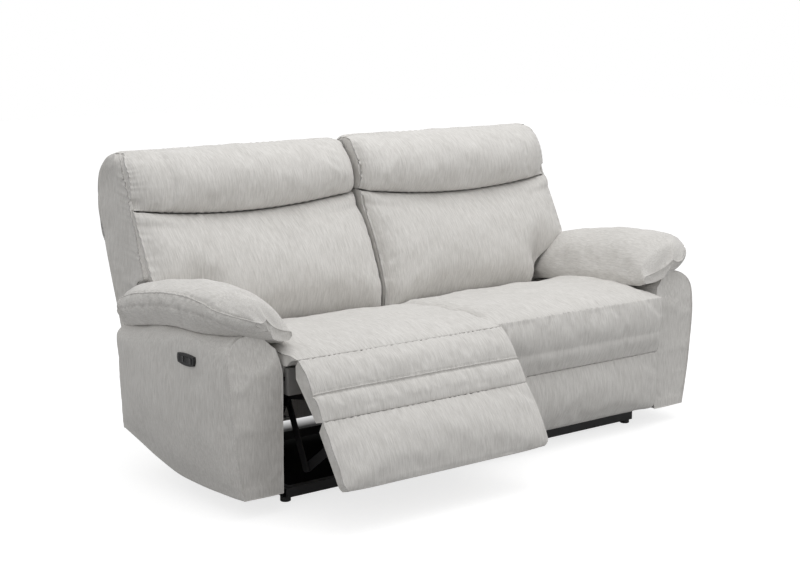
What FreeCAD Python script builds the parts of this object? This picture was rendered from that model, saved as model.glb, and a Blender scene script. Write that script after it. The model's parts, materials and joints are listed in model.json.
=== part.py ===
import FreeCAD, Part
import math
import os

from FreeCAD import Vector

# Reclining two-seat sofa: fixed arms and base, and on each half a seat that rolls forward,
# a front panel that swings up into a leg rest, and a back that leans.
# Millimetres. X across the sofa, +Y to the rear, +Z up. Built with y = 0 at the arm fronts,
# moved at the end so that the origin lies under the middle of the bounding box.

# Overall placing of the parts
ORIGIN_Y = 319.5            # middle of the depth, measured from the arm fronts
SEAT_IN = 4.0               # inner edge of a seat half
SEAT_OUT = 780.0            # outer edge of a seat half
SEAT_MID = 0.5 * (SEAT_IN + SEAT_OUT)
BACK_OUT = 893.0            # outer edge of a back
CUSHION_OUT = 884.0         # outer edge of its cushions
ARM_IN = 786.0              # inner face of an arm
SLOPE = 5.0                 # rise of the seat tracks towards the front, degrees

# Pose of the left half as shown: seat rolled forward, leg rest half up, back leaned a little
LEFT_ROLL = 46.0            # seat travel from closed
LEFT_OPEN = 42.4            # leg rest angle from closed, degrees
LEFT_LEAN = 3.5             # back angle from upright, degrees

# Pivots in the side view (y, z), closed and upright
SEAM_PIVOT = (-28.0, 470.0)     # sewn hinge between seat and calf panel
FOLD_PIVOT = (-12.0, 272.0)     # sewn hinge between calf panel and foot panel
CRANK_PIVOT = (160.0, 331.0)    # long link on the seat plate
ELBOW_PIVOT = (225.8, 99.4)    # long link to short link
FOOT_PIVOT = (60.0, 230.0)      # short link on the foot panel bracket
BACK_PIVOT = (640.0, 262.0)     # back on the base plate
FOOT_LAG = -0.2                 # foot panel angle against calf panel angle
CRANK_RATE = 0.9715              # long link angle against calf panel angle
ELBOW_RATE = -1.0196             # short link angle on the long link, same measure

# Base frame
FOOT_R = 16.5
FOOT_H = 16.0
RAIL_W = 25.0
RAIL_H = 30.0
RAIL_TOP = FOOT_H + RAIL_H
FRONT_RAIL_Y = 61.0
FRONT_FOOT_Y = 86.0
REAR_RAIL_Y = 588.0
BASE_HALF = 740.0           # rail ends
PLATE_T = 3.0               # steel plate

# Lanes of the mechanism, measured sideways from the middle of a seat
WEB_LANE = 345.0            # base side plate, inner face
TRACK_LANE = 322.0          # free edge of the track flanges
SEAT_PLATE_LANE = 317.0     # seat side plate, inner face
CRANK_LANE = 309.0          # long link, inner face
SHORT_LANE = 301.0          # short link, inner face
BRACKET_LANE = 293.0        # foot panel bracket, inner face
BACK_LANE = 350.0           # back bracket, inner face
POST_LANE = 354.0           # back frame post, inner face
LINK_T = 4.0
LINK_HALF = 14.0

# Rollers and tracks
ROLLER_R = 14.0
ROLLER_GAP = 0.1
FRONT_AXLE = (195.0, 268.0)
REAR_AXLE = (500.0, 268.0 - 305.0 * math.tan(math.radians(SLOPE)))
AXLE_R = 5.0
RUN_FIT = 0.06              # radial running clearance on the steel pins
OPEN_FIT = 1.0              # radial clearance of the pivot that closes the linkage

# Drive
DRIVE_EYE = (275.0, 318.0)
CROSSBAR_R = 12.0
ROD_R = 9.0
TUBE_R = 16.0

# Back wing behind the arm pad
WING_TOP = 628.0

# Wood and board
BOARD_T = 18.0
SEAT_FRAME_Z = (350.0, 390.0)
SPRING_R = 1.9

# Control on the arm side
CONTROL_Y = 191.0
CONTROL_Z = 459.5
CONTROL_FACE = 1002.5

parts = {}


def box(x0, x1, y0, y1, z0, z1):
    """Block between two corners."""
    return Part.makeBox(x1 - x0, y1 - y0, z1 - z0, Vector(x0, y0, z0))


def rod_x(x0, x1, centre, radius):
    """Round bar across the sofa at a side-view point."""
    return Part.makeCylinder(radius, x1 - x0, Vector(x0, centre[0], centre[1]), Vector(1, 0, 0))


def outline(start, steps, place):
    """Closed wire: each step is one point (straight) or two points (arc through, end)."""
    here = start
    edges = []
    for step in steps:
        if len(step) == 1:
            edges.append(Part.makeLine(place(here), place(step[0])))
        else:
            edges.append(Part.Arc(place(here), place(step[0]), place(step[1])).toShape())
        here = step[-1]
    return Part.Wire(edges)


def side_plane(x):
    """Placing rule for side-view points at one x."""
    return lambda p: Vector(x, p[0], p[1])


def front_plane(y):
    """Placing rule for front-view points at one y."""
    return lambda p: Vector(p[0], y, p[1])


def plate(points, x0, x1):
    """Side-view polygon with a thickness across the sofa."""
    loop = [Vector(x0, y, z) for y, z in points]
    face = Part.Face(Part.makePolygon(loop + [loop[0]]))
    return face.extrude(Vector(x1 - x0, 0, 0))


def slab(start, steps, x0, x1):
    """Side-view outline with arcs, and a thickness across the sofa."""
    face = Part.Face(outline(start, steps, side_plane(x0)))
    return face.extrude(Vector(x1 - x0, 0, 0))


def join(shapes):
    """One solid from touching solids."""
    body = shapes[0].multiFuse(shapes[1:]) if len(shapes) > 1 else shapes[0]
    return body.removeSplitter()


def bar(a, b, half, x0, x1):
    """Flat link with round ends between two side-view points."""
    length = math.dist(a, b)
    ny = -(b[1] - a[1]) / length * half
    nz = (b[0] - a[0]) / length * half
    straight = plate([(a[0] + ny, a[1] + nz), (b[0] + ny, b[1] + nz),
                      (b[0] - ny, b[1] - nz), (a[0] - ny, a[1] - nz)], x0, x1)
    return join([straight, rod_x(x0, x1, a, half), rod_x(x0, x1, b, half)])


def flip(shape):
    """Mirror image in the middle plane of the sofa."""
    return shape.mirror(Vector(0, 0, 0), Vector(1, 0, 0))


def swing(shape, pivot, degrees):
    """Turn about a pivot line across the sofa; positive lifts the front or leans the top back."""
    turned = shape.copy()
    turned.rotate(Vector(0, pivot[0], pivot[1]), Vector(-1, 0, 0), degrees)
    return turned


def roll(shape, travel):
    """Move along the seat tracks; positive is forward."""
    moved = shape.copy()
    angle = math.radians(SLOPE)
    moved.translate(Vector(0, -travel * math.cos(angle), travel * math.sin(angle)))
    return moved


def seat_pose(shape, side):
    return roll(shape, LEFT_ROLL) if side == "left" else shape


def calf_pose(shape, side):
    if side == "right":
        return shape
    return seat_pose(swing(shape, SEAM_PIVOT, LEFT_OPEN), side)


def foot_pose(shape, side):
    if side == "right":
        return shape
    return calf_pose(swing(shape, FOLD_PIVOT, FOOT_LAG * LEFT_OPEN), side)


def crank_pose(shape, side):
    if side == "right":
        return shape
    return seat_pose(swing(shape, CRANK_PIVOT, CRANK_RATE * LEFT_OPEN), side)


def elbow_pose(shape, side):
    if side == "right":
        return shape
    return crank_pose(swing(shape, ELBOW_PIVOT, ELBOW_RATE * LEFT_OPEN), side)


def back_pose(shape, side):
    return swing(shape, BACK_PIVOT, LEFT_LEAN) if side == "left" else shape


def lanes(lane0, lane1):
    """The two x intervals of a lane pair on the right half."""
    return [(SEAT_MID + lane0, SEAT_MID + lane1), (SEAT_MID - lane1, SEAT_MID - lane0)]


def both_lanes(build):
    """Outer-side solids built in lane measure, plus their mirror image on the inner side."""
    outer = build()
    inner = [s.mirror(Vector(SEAT_MID, 0, 0), Vector(1, 0, 0)) for s in outer]
    return outer + inner


def lane_x(value):
    return SEAT_MID + value


def track_point(y, offset):
    """Point on the roller line at y, moved square to it by offset."""
    angle = math.radians(SLOPE)
    z = FRONT_AXLE[1] - (y - FRONT_AXLE[0]) * math.tan(angle)
    return (y + offset * math.sin(angle), z + offset * math.cos(angle))


def sinuous(length, width, pitch, start, along, across, radius):
    """Zigzag spring wire: straight runs across, joined by round turns."""
    edges = []
    turns = int(length / pitch)
    for i in range(turns):
        sign = 1.0 if i % 2 == 0 else -1.0
        here = start + along * (i * pitch) - across * (sign * width / 2)
        there = here + across * (sign * width)
        edges.append(Part.makeLine(here, there))
        if i < turns - 1:
            top = there + along * (pitch / 2) + across * (sign * pitch / 2)
            edges.append(Part.Arc(there, top, there + along * pitch).toShape())
    path = Part.Wire(edges)
    ring = Part.Wire([Part.makeCircle(radius, edges[0].Vertexes[0].Point, across)])
    return path.makePipeShell([ring], True, False)


def build_feet():
    spots = [(x, y) for x in (-727.5, -56.5, 56.5, 727.5)
             for y in (FRONT_FOOT_Y, REAR_RAIL_Y + RAIL_W / 2)]
    feet = []
    for x, y in spots:
        pad = Part.makeCylinder(FOOT_R, FOOT_H, Vector(x, y, 0))
        rim = [e for e in pad.Edges if abs(e.BoundBox.ZMax) < 0.1 and e.Length > 60]
        feet.append(pad.makeChamfer(1.5, rim))
    return feet


def build_base_rails():
    tubes = []
    for y in (FRONT_RAIL_Y, REAR_RAIL_Y):
        outer = box(-BASE_HALF, BASE_HALF, y, y + RAIL_W, FOOT_H, RAIL_TOP)
        inner = box(-BASE_HALF, BASE_HALF, y + 2, y + RAIL_W - 2, FOOT_H + 2, RAIL_TOP - 2)
        tubes.append(outer.cut(inner))
    for x in (-BASE_HALF, -44.0 - RAIL_W, 44.0, BASE_HALF - RAIL_W):
        outer = box(x, x + RAIL_W, FRONT_RAIL_Y + RAIL_W, REAR_RAIL_Y, FOOT_H, RAIL_TOP)
        inner = box(x + 2, x + RAIL_W - 2, FRONT_RAIL_Y + RAIL_W, REAR_RAIL_Y,
                    FOOT_H + 2, RAIL_TOP - 2)
        tubes.append(outer.cut(inner))
    shelf = box(-44, 44, 440, REAR_RAIL_Y, RAIL_TOP - 3, RAIL_TOP)
    return [join(tubes + [shelf])]


def build_side_plates():
    """Steel side plates with the seat tracks, back pivot pins and arm brackets."""
    def outer():
        web = plate([(88, RAIL_TOP), (600, RAIL_TOP), (652, 90), (652, 285), (620, 312),
                     (560, 312), (540, 262), track_point(530, 24), track_point(78, 24),
                     (78, 230), (88, 120)],
                    lane_x(WEB_LANE), lane_x(WEB_LANE + PLATE_T))
        slot = slab((180, 90), [[(480, 90)], [(515, 125), (480, 160)], [(180, 160)],
                                [(145, 125), (180, 90)]],
                    lane_x(WEB_LANE) - 1, lane_x(WEB_LANE + PLATE_T) + 1)
        web = web.cut(slot)
        gap = ROLLER_R + ROLLER_GAP
        shelf = plate([track_point(82, -gap - PLATE_T), track_point(528, -gap - PLATE_T),
                       track_point(528, -gap), track_point(82, -gap)],
                      lane_x(TRACK_LANE), lane_x(WEB_LANE))
        roof = plate([track_point(82, gap + 0.2), track_point(528, gap + 0.2),
                      track_point(528, gap + 0.2 + PLATE_T), track_point(82, gap + 0.2 + PLATE_T)],
                     lane_x(TRACK_LANE), lane_x(WEB_LANE))
        pin = rod_x(lane_x(WEB_LANE), lane_x(BACK_LANE + PLATE_T + 1.5), BACK_PIVOT, 6.0)
        head = rod_x(lane_x(BACK_LANE + PLATE_T + 0.5), lane_x(BACK_LANE + PLATE_T + 3.0),
                     BACK_PIVOT, 10.0)
        return [join([web, shelf, roof, pin, head])]

    solids = []
    for solid in both_lanes(outer):
        solids.append(solid)
    brackets = []
    for y in (150.0, 470.0):
        arm = box(BASE_HALF, ARM_IN + 3, y, y + 60, 70, 73)
        flange = box(ARM_IN + 3, ARM_IN + 6, y, y + 60, 70, 140)
        for hole_y in (y + 15, y + 45):
            flange = flange.cut(rod_x(ARM_IN, ARM_IN + 10, (hole_y, 115), 4.5))
        brackets.append(join([arm, flange]))
    solids[0] = join([solids[0]] + brackets)
    return solids + [flip(s) for s in solids]


def build_crossbars():
    tube = box(lane_x(-WEB_LANE), lane_x(WEB_LANE), 575.5, 600.5, 278.5, 303.5)
    bore = box(lane_x(-WEB_LANE), lane_x(WEB_LANE), 577.5, 598.5, 280.5, 301.5)
    tube = tube.cut(bore)
    return [tube, flip(tube)]


def build_drive_motors():
    """Gear case, motor can and outer tube, lying along the tracks behind the seat crossbar."""
    x = SEAT_MID
    y, z = DRIVE_EYE
    case = box(x - 30, x + 30, y + 205, y + 262, z - 78, z + 28)
    case = case.makeFillet(6.0, [e for e in case.Edges if abs(e.Length - 57) < 0.1])
    tube = Part.makeCylinder(TUBE_R, 185, Vector(x, y + 25, z), Vector(0, 1, 0))
    can = Part.makeCylinder(21, 120, Vector(x, y + 88, z - 52), Vector(0, 1, 0))
    lug = box(x - 12, x + 12, y + 262, y + 292, z - 12, z + 12)
    body = join([case, tube, can, lug])
    bore = Part.makeCylinder(ROD_R + 0.5, 230, Vector(x, y + 20, z), Vector(0, 1, 0))
    body = body.cut(bore)
    body = swing(body, DRIVE_EYE, SLOPE)
    body = body.cut(box(x - 40, x + 40, 575.5, 640, 200, 400))
    return [body, flip(body)]


def build_drive_rod():
    x = SEAT_MID
    y, z = DRIVE_EYE
    eye = Part.makeCylinder(18, 24, Vector(x - 12, y, z), Vector(1, 0, 0))
    rod = Part.makeCylinder(ROD_R, 172, Vector(x, y + 10, z), Vector(0, 1, 0))
    body = join([eye, rod])
    body = body.cut(rod_x(x - 20, x + 20, DRIVE_EYE, CROSSBAR_R))
    return [swing(body, DRIVE_EYE, SLOPE)]


def build_seat_plates():
    """Plates under the seat frame with axles, link pins and the crossbar."""
    def outer():
        web = plate([(38, 350), (38, 328), (130, 312), (168, 250), (222, 250), (262, 288),
                     (450, 288), (480, 224), (520, 224), (545, 300), (585, 325), (585, 350)],
                    lane_x(SEAT_PLATE_LANE), lane_x(SEAT_PLATE_LANE + PLATE_T))
        flange = box(lane_x(SEAT_PLATE_LANE + PLATE_T), lane_x(SEAT_PLATE_LANE + 28),
                     38, 585, 347, 350)
        made = [web, flange]
        for axle in (FRONT_AXLE, REAR_AXLE):
            made.append(rod_x(lane_x(SEAT_PLATE_LANE), lane_x(341.5), axle, AXLE_R))
            made.append(rod_x(lane_x(320), lane_x(323.5), axle, 8.0))
            made.append(rod_x(lane_x(340.8), lane_x(343.5), axle, 8.0))
        made.append(rod_x(lane_x(308.0), lane_x(SEAT_PLATE_LANE + 1), CRANK_PIVOT, AXLE_R))
        made.append(rod_x(lane_x(306.2), lane_x(308.7), CRANK_PIVOT, 8.0))
        made.append(rod_x(lane_x(313.5), lane_x(SEAT_PLATE_LANE), CRANK_PIVOT, 8.0))
        return [join(made)]

    outer_plate, inner_plate = both_lanes(outer)
    crossbar = rod_x(lane_x(-SEAT_PLATE_LANE), lane_x(SEAT_PLATE_LANE), DRIVE_EYE, CROSSBAR_R)
    return [join([outer_plate, inner_plate, crossbar])]


def build_rollers(axle):
    def outer():
        wheel = rod_x(lane_x(324), lane_x(340), axle, ROLLER_R)
        rims = [e for e in wheel.Edges if e.Length > 80]
        wheel = wheel.makeChamfer(1.0, rims)
        return [wheel.cut(rod_x(lane_x(320), lane_x(345), axle, AXLE_R + RUN_FIT))]
    return both_lanes(outer)


def build_cranks():
    """Long links with the elbow pins."""
    def outer():
        inner = lane_x(CRANK_LANE)
        body = bar(CRANK_PIVOT, ELBOW_PIVOT, LINK_HALF, inner, inner + LINK_T)
        body = body.cut(rod_x(inner - 1, inner + LINK_T + 1, CRANK_PIVOT, AXLE_R + RUN_FIT))
        pin = rod_x(lane_x(299.8), inner + 1, ELBOW_PIVOT, AXLE_R)
        head = rod_x(lane_x(298.0), lane_x(300.6), ELBOW_PIVOT, 8.0)
        boss = rod_x(lane_x(305.4), inner, ELBOW_PIVOT, 8.0)
        return [join([body, pin, head, boss])]
    return both_lanes(outer)


def build_short_links():
    def outer():
        inner = lane_x(SHORT_LANE)
        body = bar(ELBOW_PIVOT, FOOT_PIVOT, LINK_HALF, inner, inner + LINK_T)
        body = body.cut(rod_x(inner - 1, inner + LINK_T + 1, ELBOW_PIVOT, AXLE_R + RUN_FIT))
        return [body.cut(rod_x(inner - 1, inner + LINK_T + 1, FOOT_PIVOT, AXLE_R + OPEN_FIT))]
    return both_lanes(outer)


def build_foot_brackets():
    """Angle brackets on the back of the foot board, with the pivot pins."""
    def outer():
        inner = lane_x(BRACKET_LANE)
        web = plate([(36, 110), (46, 110), (74, 222), (74, 238), (64, 245), (36, 245)],
                    inner, inner + LINK_T)
        flange = box(inner - 26, inner, 36, 39, 110, 245)
        pin = rod_x(inner + 1, lane_x(307.0), FOOT_PIVOT, AXLE_R)
        boss = rod_x(inner + LINK_T, lane_x(300.6), FOOT_PIVOT, 8.0)
        head = rod_x(lane_x(305.6), lane_x(308.0), FOOT_PIVOT, 9.0)
        return [join([web, flange, pin, boss, head])]
    return both_lanes(outer)


def build_seat_frame():
    low, high = SEAT_FRAME_Z
    front = box(12, 772, 38, 62, low, high)
    rear = box(12, 772, 560, 585, low, high)
    sides = [box(x, x + 22, 62, 560, low, high) for x in (12, 750)]
    nose = box(12, 772, 38, 56, high, high + 42)
    corners = [box(x, x + 40, y, y + 40, low + 8, high)
               for x in (34, 710) for y in (62, 520)]
    return [join([front, rear, nose] + sides + corners)]


def build_seat_springs():
    """Sinuous wires from the front rail to the rear rail."""
    wires = []
    count = 5
    for i in range(count):
        x = 100 + i * (684 - 100) / (count - 1)
        start = Vector(x, 58, SEAT_FRAME_Z[1] + SPRING_R)
        wires.append(sinuous(530, 52, 42, start, Vector(0, 1, 0), Vector(1, 0, 0), SPRING_R))
    return wires


def seat_section(drop, inset):
    """Side view of the seat cushion: thin front lip, crowned top, tucked rear."""
    start = (-27.4 + inset, 470.8)
    steps = [[(2 + inset, 486 - drop * 0.6), (62, 491 - drop)],
             [(240, 491 - drop), (500, 456 - drop)],
             [(538, 442.5 - drop), (572, 420 - 0.8 * drop)],
             [(612, 404)],
             [(612, 398)],
             [(64, 398)],
             [(64, 440)],
             [(34, 440)],
             [(6, 470.8)],
             [start]]
    return start, steps


def build_seat_cushion():
    sections = []
    stations = [(SEAT_IN, 17, 7), (40, 9, 3), (110, 3, 1), (250, -1, 0), (392, -3, 0),
                (534, -1, 0), (674, 3, 1), (744, 11, 3), (SEAT_OUT, 19, 7)]
    for x, drop, inset in stations:
        start, steps = seat_section(drop, inset)
        sections.append(outline(start, steps, side_plane(x)))
    return [Part.makeLoft(sections, True, False)]


def calf_section(bulge):
    """Side view of the calf panel: two padded bands with a sewn channel between them."""
    start = (-28.2, 469.4)
    steps = [[(-29.5 - bulge, 412), (-21.5, 352)],
             [(-19 - 0.75 * bulge, 312), (-12.6, 273.2)],
             [(22, 287.5)],
             [(22, 438)],
             [(-3, 466)],
             [start]]
    return start, steps


def build_calf_pad():
    sections = []
    stations = [(SEAT_IN, 5), (50, 11), (200, 16), (392, 17), (584, 16), (734, 11), (SEAT_OUT, 5)]
    for x, bulge in stations:
        start, steps = calf_section(bulge)
        sections.append(outline(start, steps, side_plane(x)))
    return [Part.makeLoft(sections, True, False)]


def build_calf_board():
    return [box(30, 754, 22, 33, 296, 430)]


def foot_section(bulge, draw):
    """Side view of the foot panel: flat pad with a full lower edge."""
    start = (-12.4, 270.8)
    steps = [[(-13 - bulge, 172), (-11 + draw, 76 + draw)],
             [(-6 + draw, 64 + draw), (6, 60 + draw)],
             [(24, 66 + draw)],
             [(24, 254)],
             [start]]
    return start, steps


def build_foot_pad():
    sections = []
    stations = [(SEAT_IN, 4, 4), (60, 10, 1), (220, 14, 0), (392, 15, 0), (564, 14, 0),
                (724, 10, 1), (SEAT_OUT, 4, 4)]
    for x, bulge, draw in stations:
        start, steps = foot_section(bulge, draw)
        sections.append(outline(start, steps, side_plane(x)))
    return [Part.makeLoft(sections, True, False)]


def build_foot_board():
    return [box(30, 754, 24, 36, 84, 248)]


def support_y(z):
    """Front plane of the back frame in the side view."""
    return 671.0 + (z - 428.0) * 0.242


def rear_y(z):
    """Rear face of the back, straight part."""
    return 746.0 + (z - 285.0) * 0.2914


def build_back_frame():
    """Posts and rails of the back, open between them."""
    def post(x0):
        return plate([(support_y(292) + 8, 292), (support_y(292) + 72, 292),
                      (support_y(965) + 60, 965), (support_y(965) + 12, 965)], x0, x0 + BOARD_T)
    posts = [post(lane_x(POST_LANE)), post(lane_x(-POST_LANE - BOARD_T))]
    rails = []
    for z, tall in ((300, 60), (470, 45), (700, 45), (905, 60)):
        depth = 20
        reach = BACK_LANE if z < 430 else POST_LANE
        rails.append(plate([(support_y(z) + 14, z), (support_y(z) + 14 + depth, z),
                            (support_y(z + tall) + 14 + depth, z + tall),
                            (support_y(z + tall) + 14, z + tall)],
                           lane_x(-reach), lane_x(reach)))
    cleat = plate([(support_y(905) + 34, 905), (support_y(905) + 62, 905),
                   (support_y(905) + 62, 923), (support_y(905) + 34, 923)],
                  lane_x(-POST_LANE), lane_x(POST_LANE))
    low_rail = rails.pop(0)
    return [join(posts + rails + [cleat]), low_rail]


def build_back_springs():
    """Sinuous wires up the back, from the lower rail to the top rail."""
    wires = []
    lean = math.atan(0.242)
    along = Vector(0, math.sin(lean), math.cos(lean))
    count = 4
    for i in range(count):
        x = 120 + i * (664 - 120) / (count - 1)
        z = 322
        start = Vector(x, support_y(z) + 14 - SPRING_R / math.cos(lean), z)
        wires.append(sinuous(640, 56, 44, start, along, Vector(1, 0, 0), SPRING_R))
    return wires


def build_back_brackets():
    def outer():
        inner = lane_x(BACK_LANE)
        web = plate([(622, 250), (632, 242), (650, 244), (658, 258), (706, 400), (702, 430),
                     (684, 430), (650, 330), (622, 276)], inner, inner + PLATE_T)
        web = web.cut(rod_x(inner - 1, inner + PLATE_T + 1, BACK_PIVOT, 6.0 + RUN_FIT))
        spacer = plate([(664, 300), (682, 300), (704, 420), (688, 420)],
                       inner + PLATE_T, lane_x(POST_LANE))
        return [join([web, spacer])]
    return both_lanes(outer)


def cover_section(inset):
    """Side view of the back shell; inset draws the rear and top edges in at the sides."""
    start = (656, 285)
    steps = [[(rear_y(285) - inset, 285)],
             [(876 - inset, 730)],
             [(903 - inset, 820), (906 - inset, 878)],
             [(899 - inset, 945 - 0.5 * inset), (868 - 0.7 * inset, 990 - 0.7 * inset)],
             [(846 - 0.5 * inset, 1012 - inset), (806, 1020 - inset)],
             [(796, 960)],
             [(support_y(838), 838)],
             [(support_y(WING_TOP), WING_TOP)],
             [(656, WING_TOP - 50)],
             [start]]
    return start, steps


def cover_solid():
    """Outside of the back shell, not yet hollow."""
    sections = []
    for x, inset in ((SEAT_IN, 9), (SEAT_IN + 12, 0), (BACK_OUT - 14, 0), (BACK_OUT, 11)):
        start, steps = cover_section(inset)
        sections.append(outline(start, steps, side_plane(x)))
    return Part.makeLoft(sections, True, True)


def build_back_cover():
    """Padded shell of the back: rear, top and side gussets, with a solid wing at the arm."""
    inner_start = (600, 280)
    inner_steps = [[(rear_y(280) - 20, 280)],
                   [(rear_y(930) - 32, 905)],
                   [(862, 978)],
                   [(760, 978)],
                   [(600, 612)],
                   [inner_start]]
    cavity = slab(inner_start, inner_steps, 19, 766)
    return [cover_solid().cut(cavity)]


def lumbar_section(bulge):
    """Side view of the lower back cushion."""
    rear_low = (support_y(438) - 1, 438)
    rear_high = (support_y(832) - 1, 832)
    start = (570, 438)
    steps = [[(530, 452), (503 - 0.2 * bulge, 477)],
             [(508 - 0.35 * bulge, 488), (520 - 0.5 * bulge, 500)],
             [(573 - bulge, 620), (640 - 0.6 * bulge, 790)],
             [(650 - 0.2 * bulge, 822), (692, 834)],
             [rear_high],
             [rear_low],
             [start]]
    return start, steps


def head_section(bulge, low):
    """Side view of the head cushion, rolled over the top edge."""
    start = (692, 838)
    steps = [[(661 - bulge, 848), (652 - bulge, 875)],
             [(664 - bulge, 948 - low), (722 - 0.5 * bulge, 1000 - low)],
             [(764, 1020 - low), (804, 1023 - low)],
             [(796, 962)],
             [(support_y(842) - 1, 842)],
             [start]]
    return start, steps


def corner_beside_pad():
    """Space that the lower back cushion leaves at its outer end, beside the arm pad."""
    low, high = 425.0, WING_TOP - 10
    lean = 0.34
    loop = [Vector(x, y, low) for x, y in ((664, 400), (664, 492), (690, 508), (714, 532),
                                           (734, 566), (734, 400))]
    face = Part.Face(Part.makePolygon(loop + [loop[0]]))
    return face.extrude(Vector(0, lean * (high - low), high - low))


def build_back_cushions():
    """Lower back cushion and head cushion; the lower one is narrow between the arm pads."""
    stations = [(SEAT_IN, -12, 14), (44, 0, 6), (130, 6, 1), (300, 10, 0), (448, 11, 0),
                (600, 9, 0), (740, 2, 1), (836, -16, 6), (CUSHION_OUT, -42, 16)]
    low = []
    high = []
    for x, bulge, fall in stations:
        start, steps = lumbar_section(bulge)
        low.append(outline(start, steps, side_plane(x)))
        start, steps = head_section(bulge, fall)
        high.append(outline(start, steps, side_plane(x)))
    lumbar = Part.makeLoft(low, True, False)
    head = Part.makeLoft(high, True, False)
    lumbar = lumbar.cut(box(733, 920, 440, 730, 420, WING_TOP + 2))
    lumbar = lumbar.cut(corner_beside_pad())
    shell = cover_solid()
    lumbar = lumbar.cut(shell)
    return [lumbar], [head.cut(shell).cut(lumbar)]


def arm_section(y, top, bulge, bottom, hem, shoulder):
    """Front view of an arm below its pad; hem is the lower outer corner."""
    start = (ARM_IN + 3, bottom)
    steps = [[(ARM_IN, top - 120)],
             [(ARM_IN + 17, top - 50), (856 - 0.25 * shoulder, top - 7)],
             [(905 - 0.55 * shoulder, top), (950 - 0.9 * shoulder, top - 2 - 0.1 * shoulder)],
             [(973 - 0.55 * shoulder, top - 6 - 0.35 * shoulder),
              (980 + 0.25 * (bulge - shoulder), top - 22 - shoulder)],
             [(958 + bulge, 0.5 * (top + bottom) + 20), hem],
             [start]]
    return outline(start, steps, front_plane(y))


def build_arm_cover():
    stations = [(0, 546, 11, 59, (928, 59), 80), (70, 544, 28, 59, (938, 59), 50),
                (190, 541, 42, 59, (948, 62), 0), (320, 536, 46, 61, (956, 68), 0),
                (450, 521, 46, 74, (963, 90), 0), (560, 501, 44, 96, (969, 123), 0),
                (648, 482, 38, 122, (974, 148), 0)]
    sections = [arm_section(*s) for s in stations]
    outer = Part.makeLoft(sections, True, False)
    brow = slab((0, 372), [[(12, 462), (46, 560)], [(-10, 560)], [(-10, 372)], [(0, 372)]],
                ARM_IN - 10, 1020)
    outer = outer.cut(brow)
    cavity = join([box(ARM_IN + 6, 918, 14, 634, 40, 396), box(ARM_IN + 40, 918, 40, 560, 396, 464)])
    return outer, outer.cut(cavity)


def build_arm_frame():
    """Boards of the arm: inner, outer, front, rear, top, and a bottom rail."""
    inner = box(ARM_IN + 6, ARM_IN + 6 + BOARD_T, 14, 634, 128, 396)
    foot = box(ARM_IN + 6, ARM_IN + 6 + BOARD_T, 14, 560, 64, 128)
    outer_board = join([box(900, 918, 14, 560, 128, 396), box(900, 918, 40, 560, 396, 464)])
    outer_foot = box(900, 918, 14, 330, 80, 128)
    front = join([box(ARM_IN + 24, 900, 14, 32, 64, 396), box(ARM_IN + 40, 900, 32, 58, 378, 396)])
    rear = box(ARM_IN + 24, 900, 542, 560, 128, 396)
    top = box(ARM_IN + 40, 900, 40, 560, 446, 464)
    ties = [box(ARM_IN + 40, 900, y, y + 18, 396, 446) for y in (40, 290, 542)]
    frame = join([inner, foot, outer_board, outer_foot, front, rear, top] + ties)
    for y in (150.0, 470.0):
        for hole_y in (y + 15, y + 45):
            frame = frame.cut(rod_x(ARM_IN, ARM_IN + 30, (hole_y, 115), 4.0))
    return frame


def build_arm_bolts():
    """Bolts through the arm brackets into the inner boards."""
    bolts = []
    for y in (150.0, 470.0):
        for hole_y in (y + 15, y + 45):
            shank = rod_x(ARM_IN + 1.5, ARM_IN + 30, (hole_y, 115), 4.0)
            head = rod_x(ARM_IN - 1.5, ARM_IN + 3, (hole_y, 115), 7.5)
            bolts.append(join([shank, head]))
    return bolts + [flip(b) for b in bolts]


def pad_section(y, crest, hang, outer_z, under, out):
    """Front view of an arm pad: crowned top that falls to the seat side; out is the outer seam."""
    inset = 990 - out
    start = (out - 16, under)
    steps = [[(850 - 0.3 * inset, under - 24)],
             [(ARM_IN + 2, hang + 4)],
             [(752, hang)],
             [(739, hang + 18), (744, hang + 0.32 * (crest - hang))],
             [(790, crest - 50), (880 - 0.3 * inset, crest)],
             [(out - 34, crest - 0.35 * (crest - outer_z)), (out, outer_z)],
             [(out + 8, 0.5 * (outer_z + under) - 4), start]]
    return outline(start, steps, front_plane(y))


def build_arm_pad(arm_solid):
    stations = [(-20, 598, 497, 590, 553, 905), (14, 645, 498, 604, 548, 950),
                (54, 664, 498, 615, 543, 984), (110, 672, 498, 631, 541, 991),
                (200, 672, 496, 642, 540, 994), (320, 664, 487, 638, 535, 994),
                (430, 650, 473, 622, 520, 994), (540, 630, 459, 602, 500, 991),
                (638, 604, 447, 573, 480, 980)]
    sections = [pad_section(*s) for s in stations]
    return Part.makeLoft(sections, True, False).cut(arm_solid)


def build_rear_panel():
    """Covered board behind the base, with a window for the power inlet."""
    panel = box(-780, 780, 654, 672, 62, 240)
    panel = panel.makeFillet(4.0, [e for e in panel.Edges if e.Length > 1000])
    return [panel.cut(box(-15, 15, 640, 680, 140, 160))]


def build_power_inlet():
    """Recessed inlet with a figure-eight cavity and two pins."""
    shell = box(-15, 15, 652, 672, 140, 160)
    flange = box(-20, 20, 672, 674, 135, 165)
    body = join([shell, flange])
    lobes = [Part.makeCylinder(5.0, 20, Vector(x, 658, 150), Vector(0, 1, 0)) for x in (-5, 5)]
    waist = box(-5, 5, 658, 678, 145.5, 154.5)
    body = body.cut(join(lobes + [waist]))
    pins = [Part.makeCylinder(1.2, 12, Vector(x, 657, 150), Vector(0, 1, 0)) for x in (-4.3, 4.3)]
    return [join([body] + pins)]


def build_power_supply():
    case = box(-32, 32, 450, 580, RAIL_TOP, RAIL_TOP + 36)
    return [case.makeFillet(4.0, [e for e in case.Edges if abs(e.Length - 36) < 0.1])]


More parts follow.
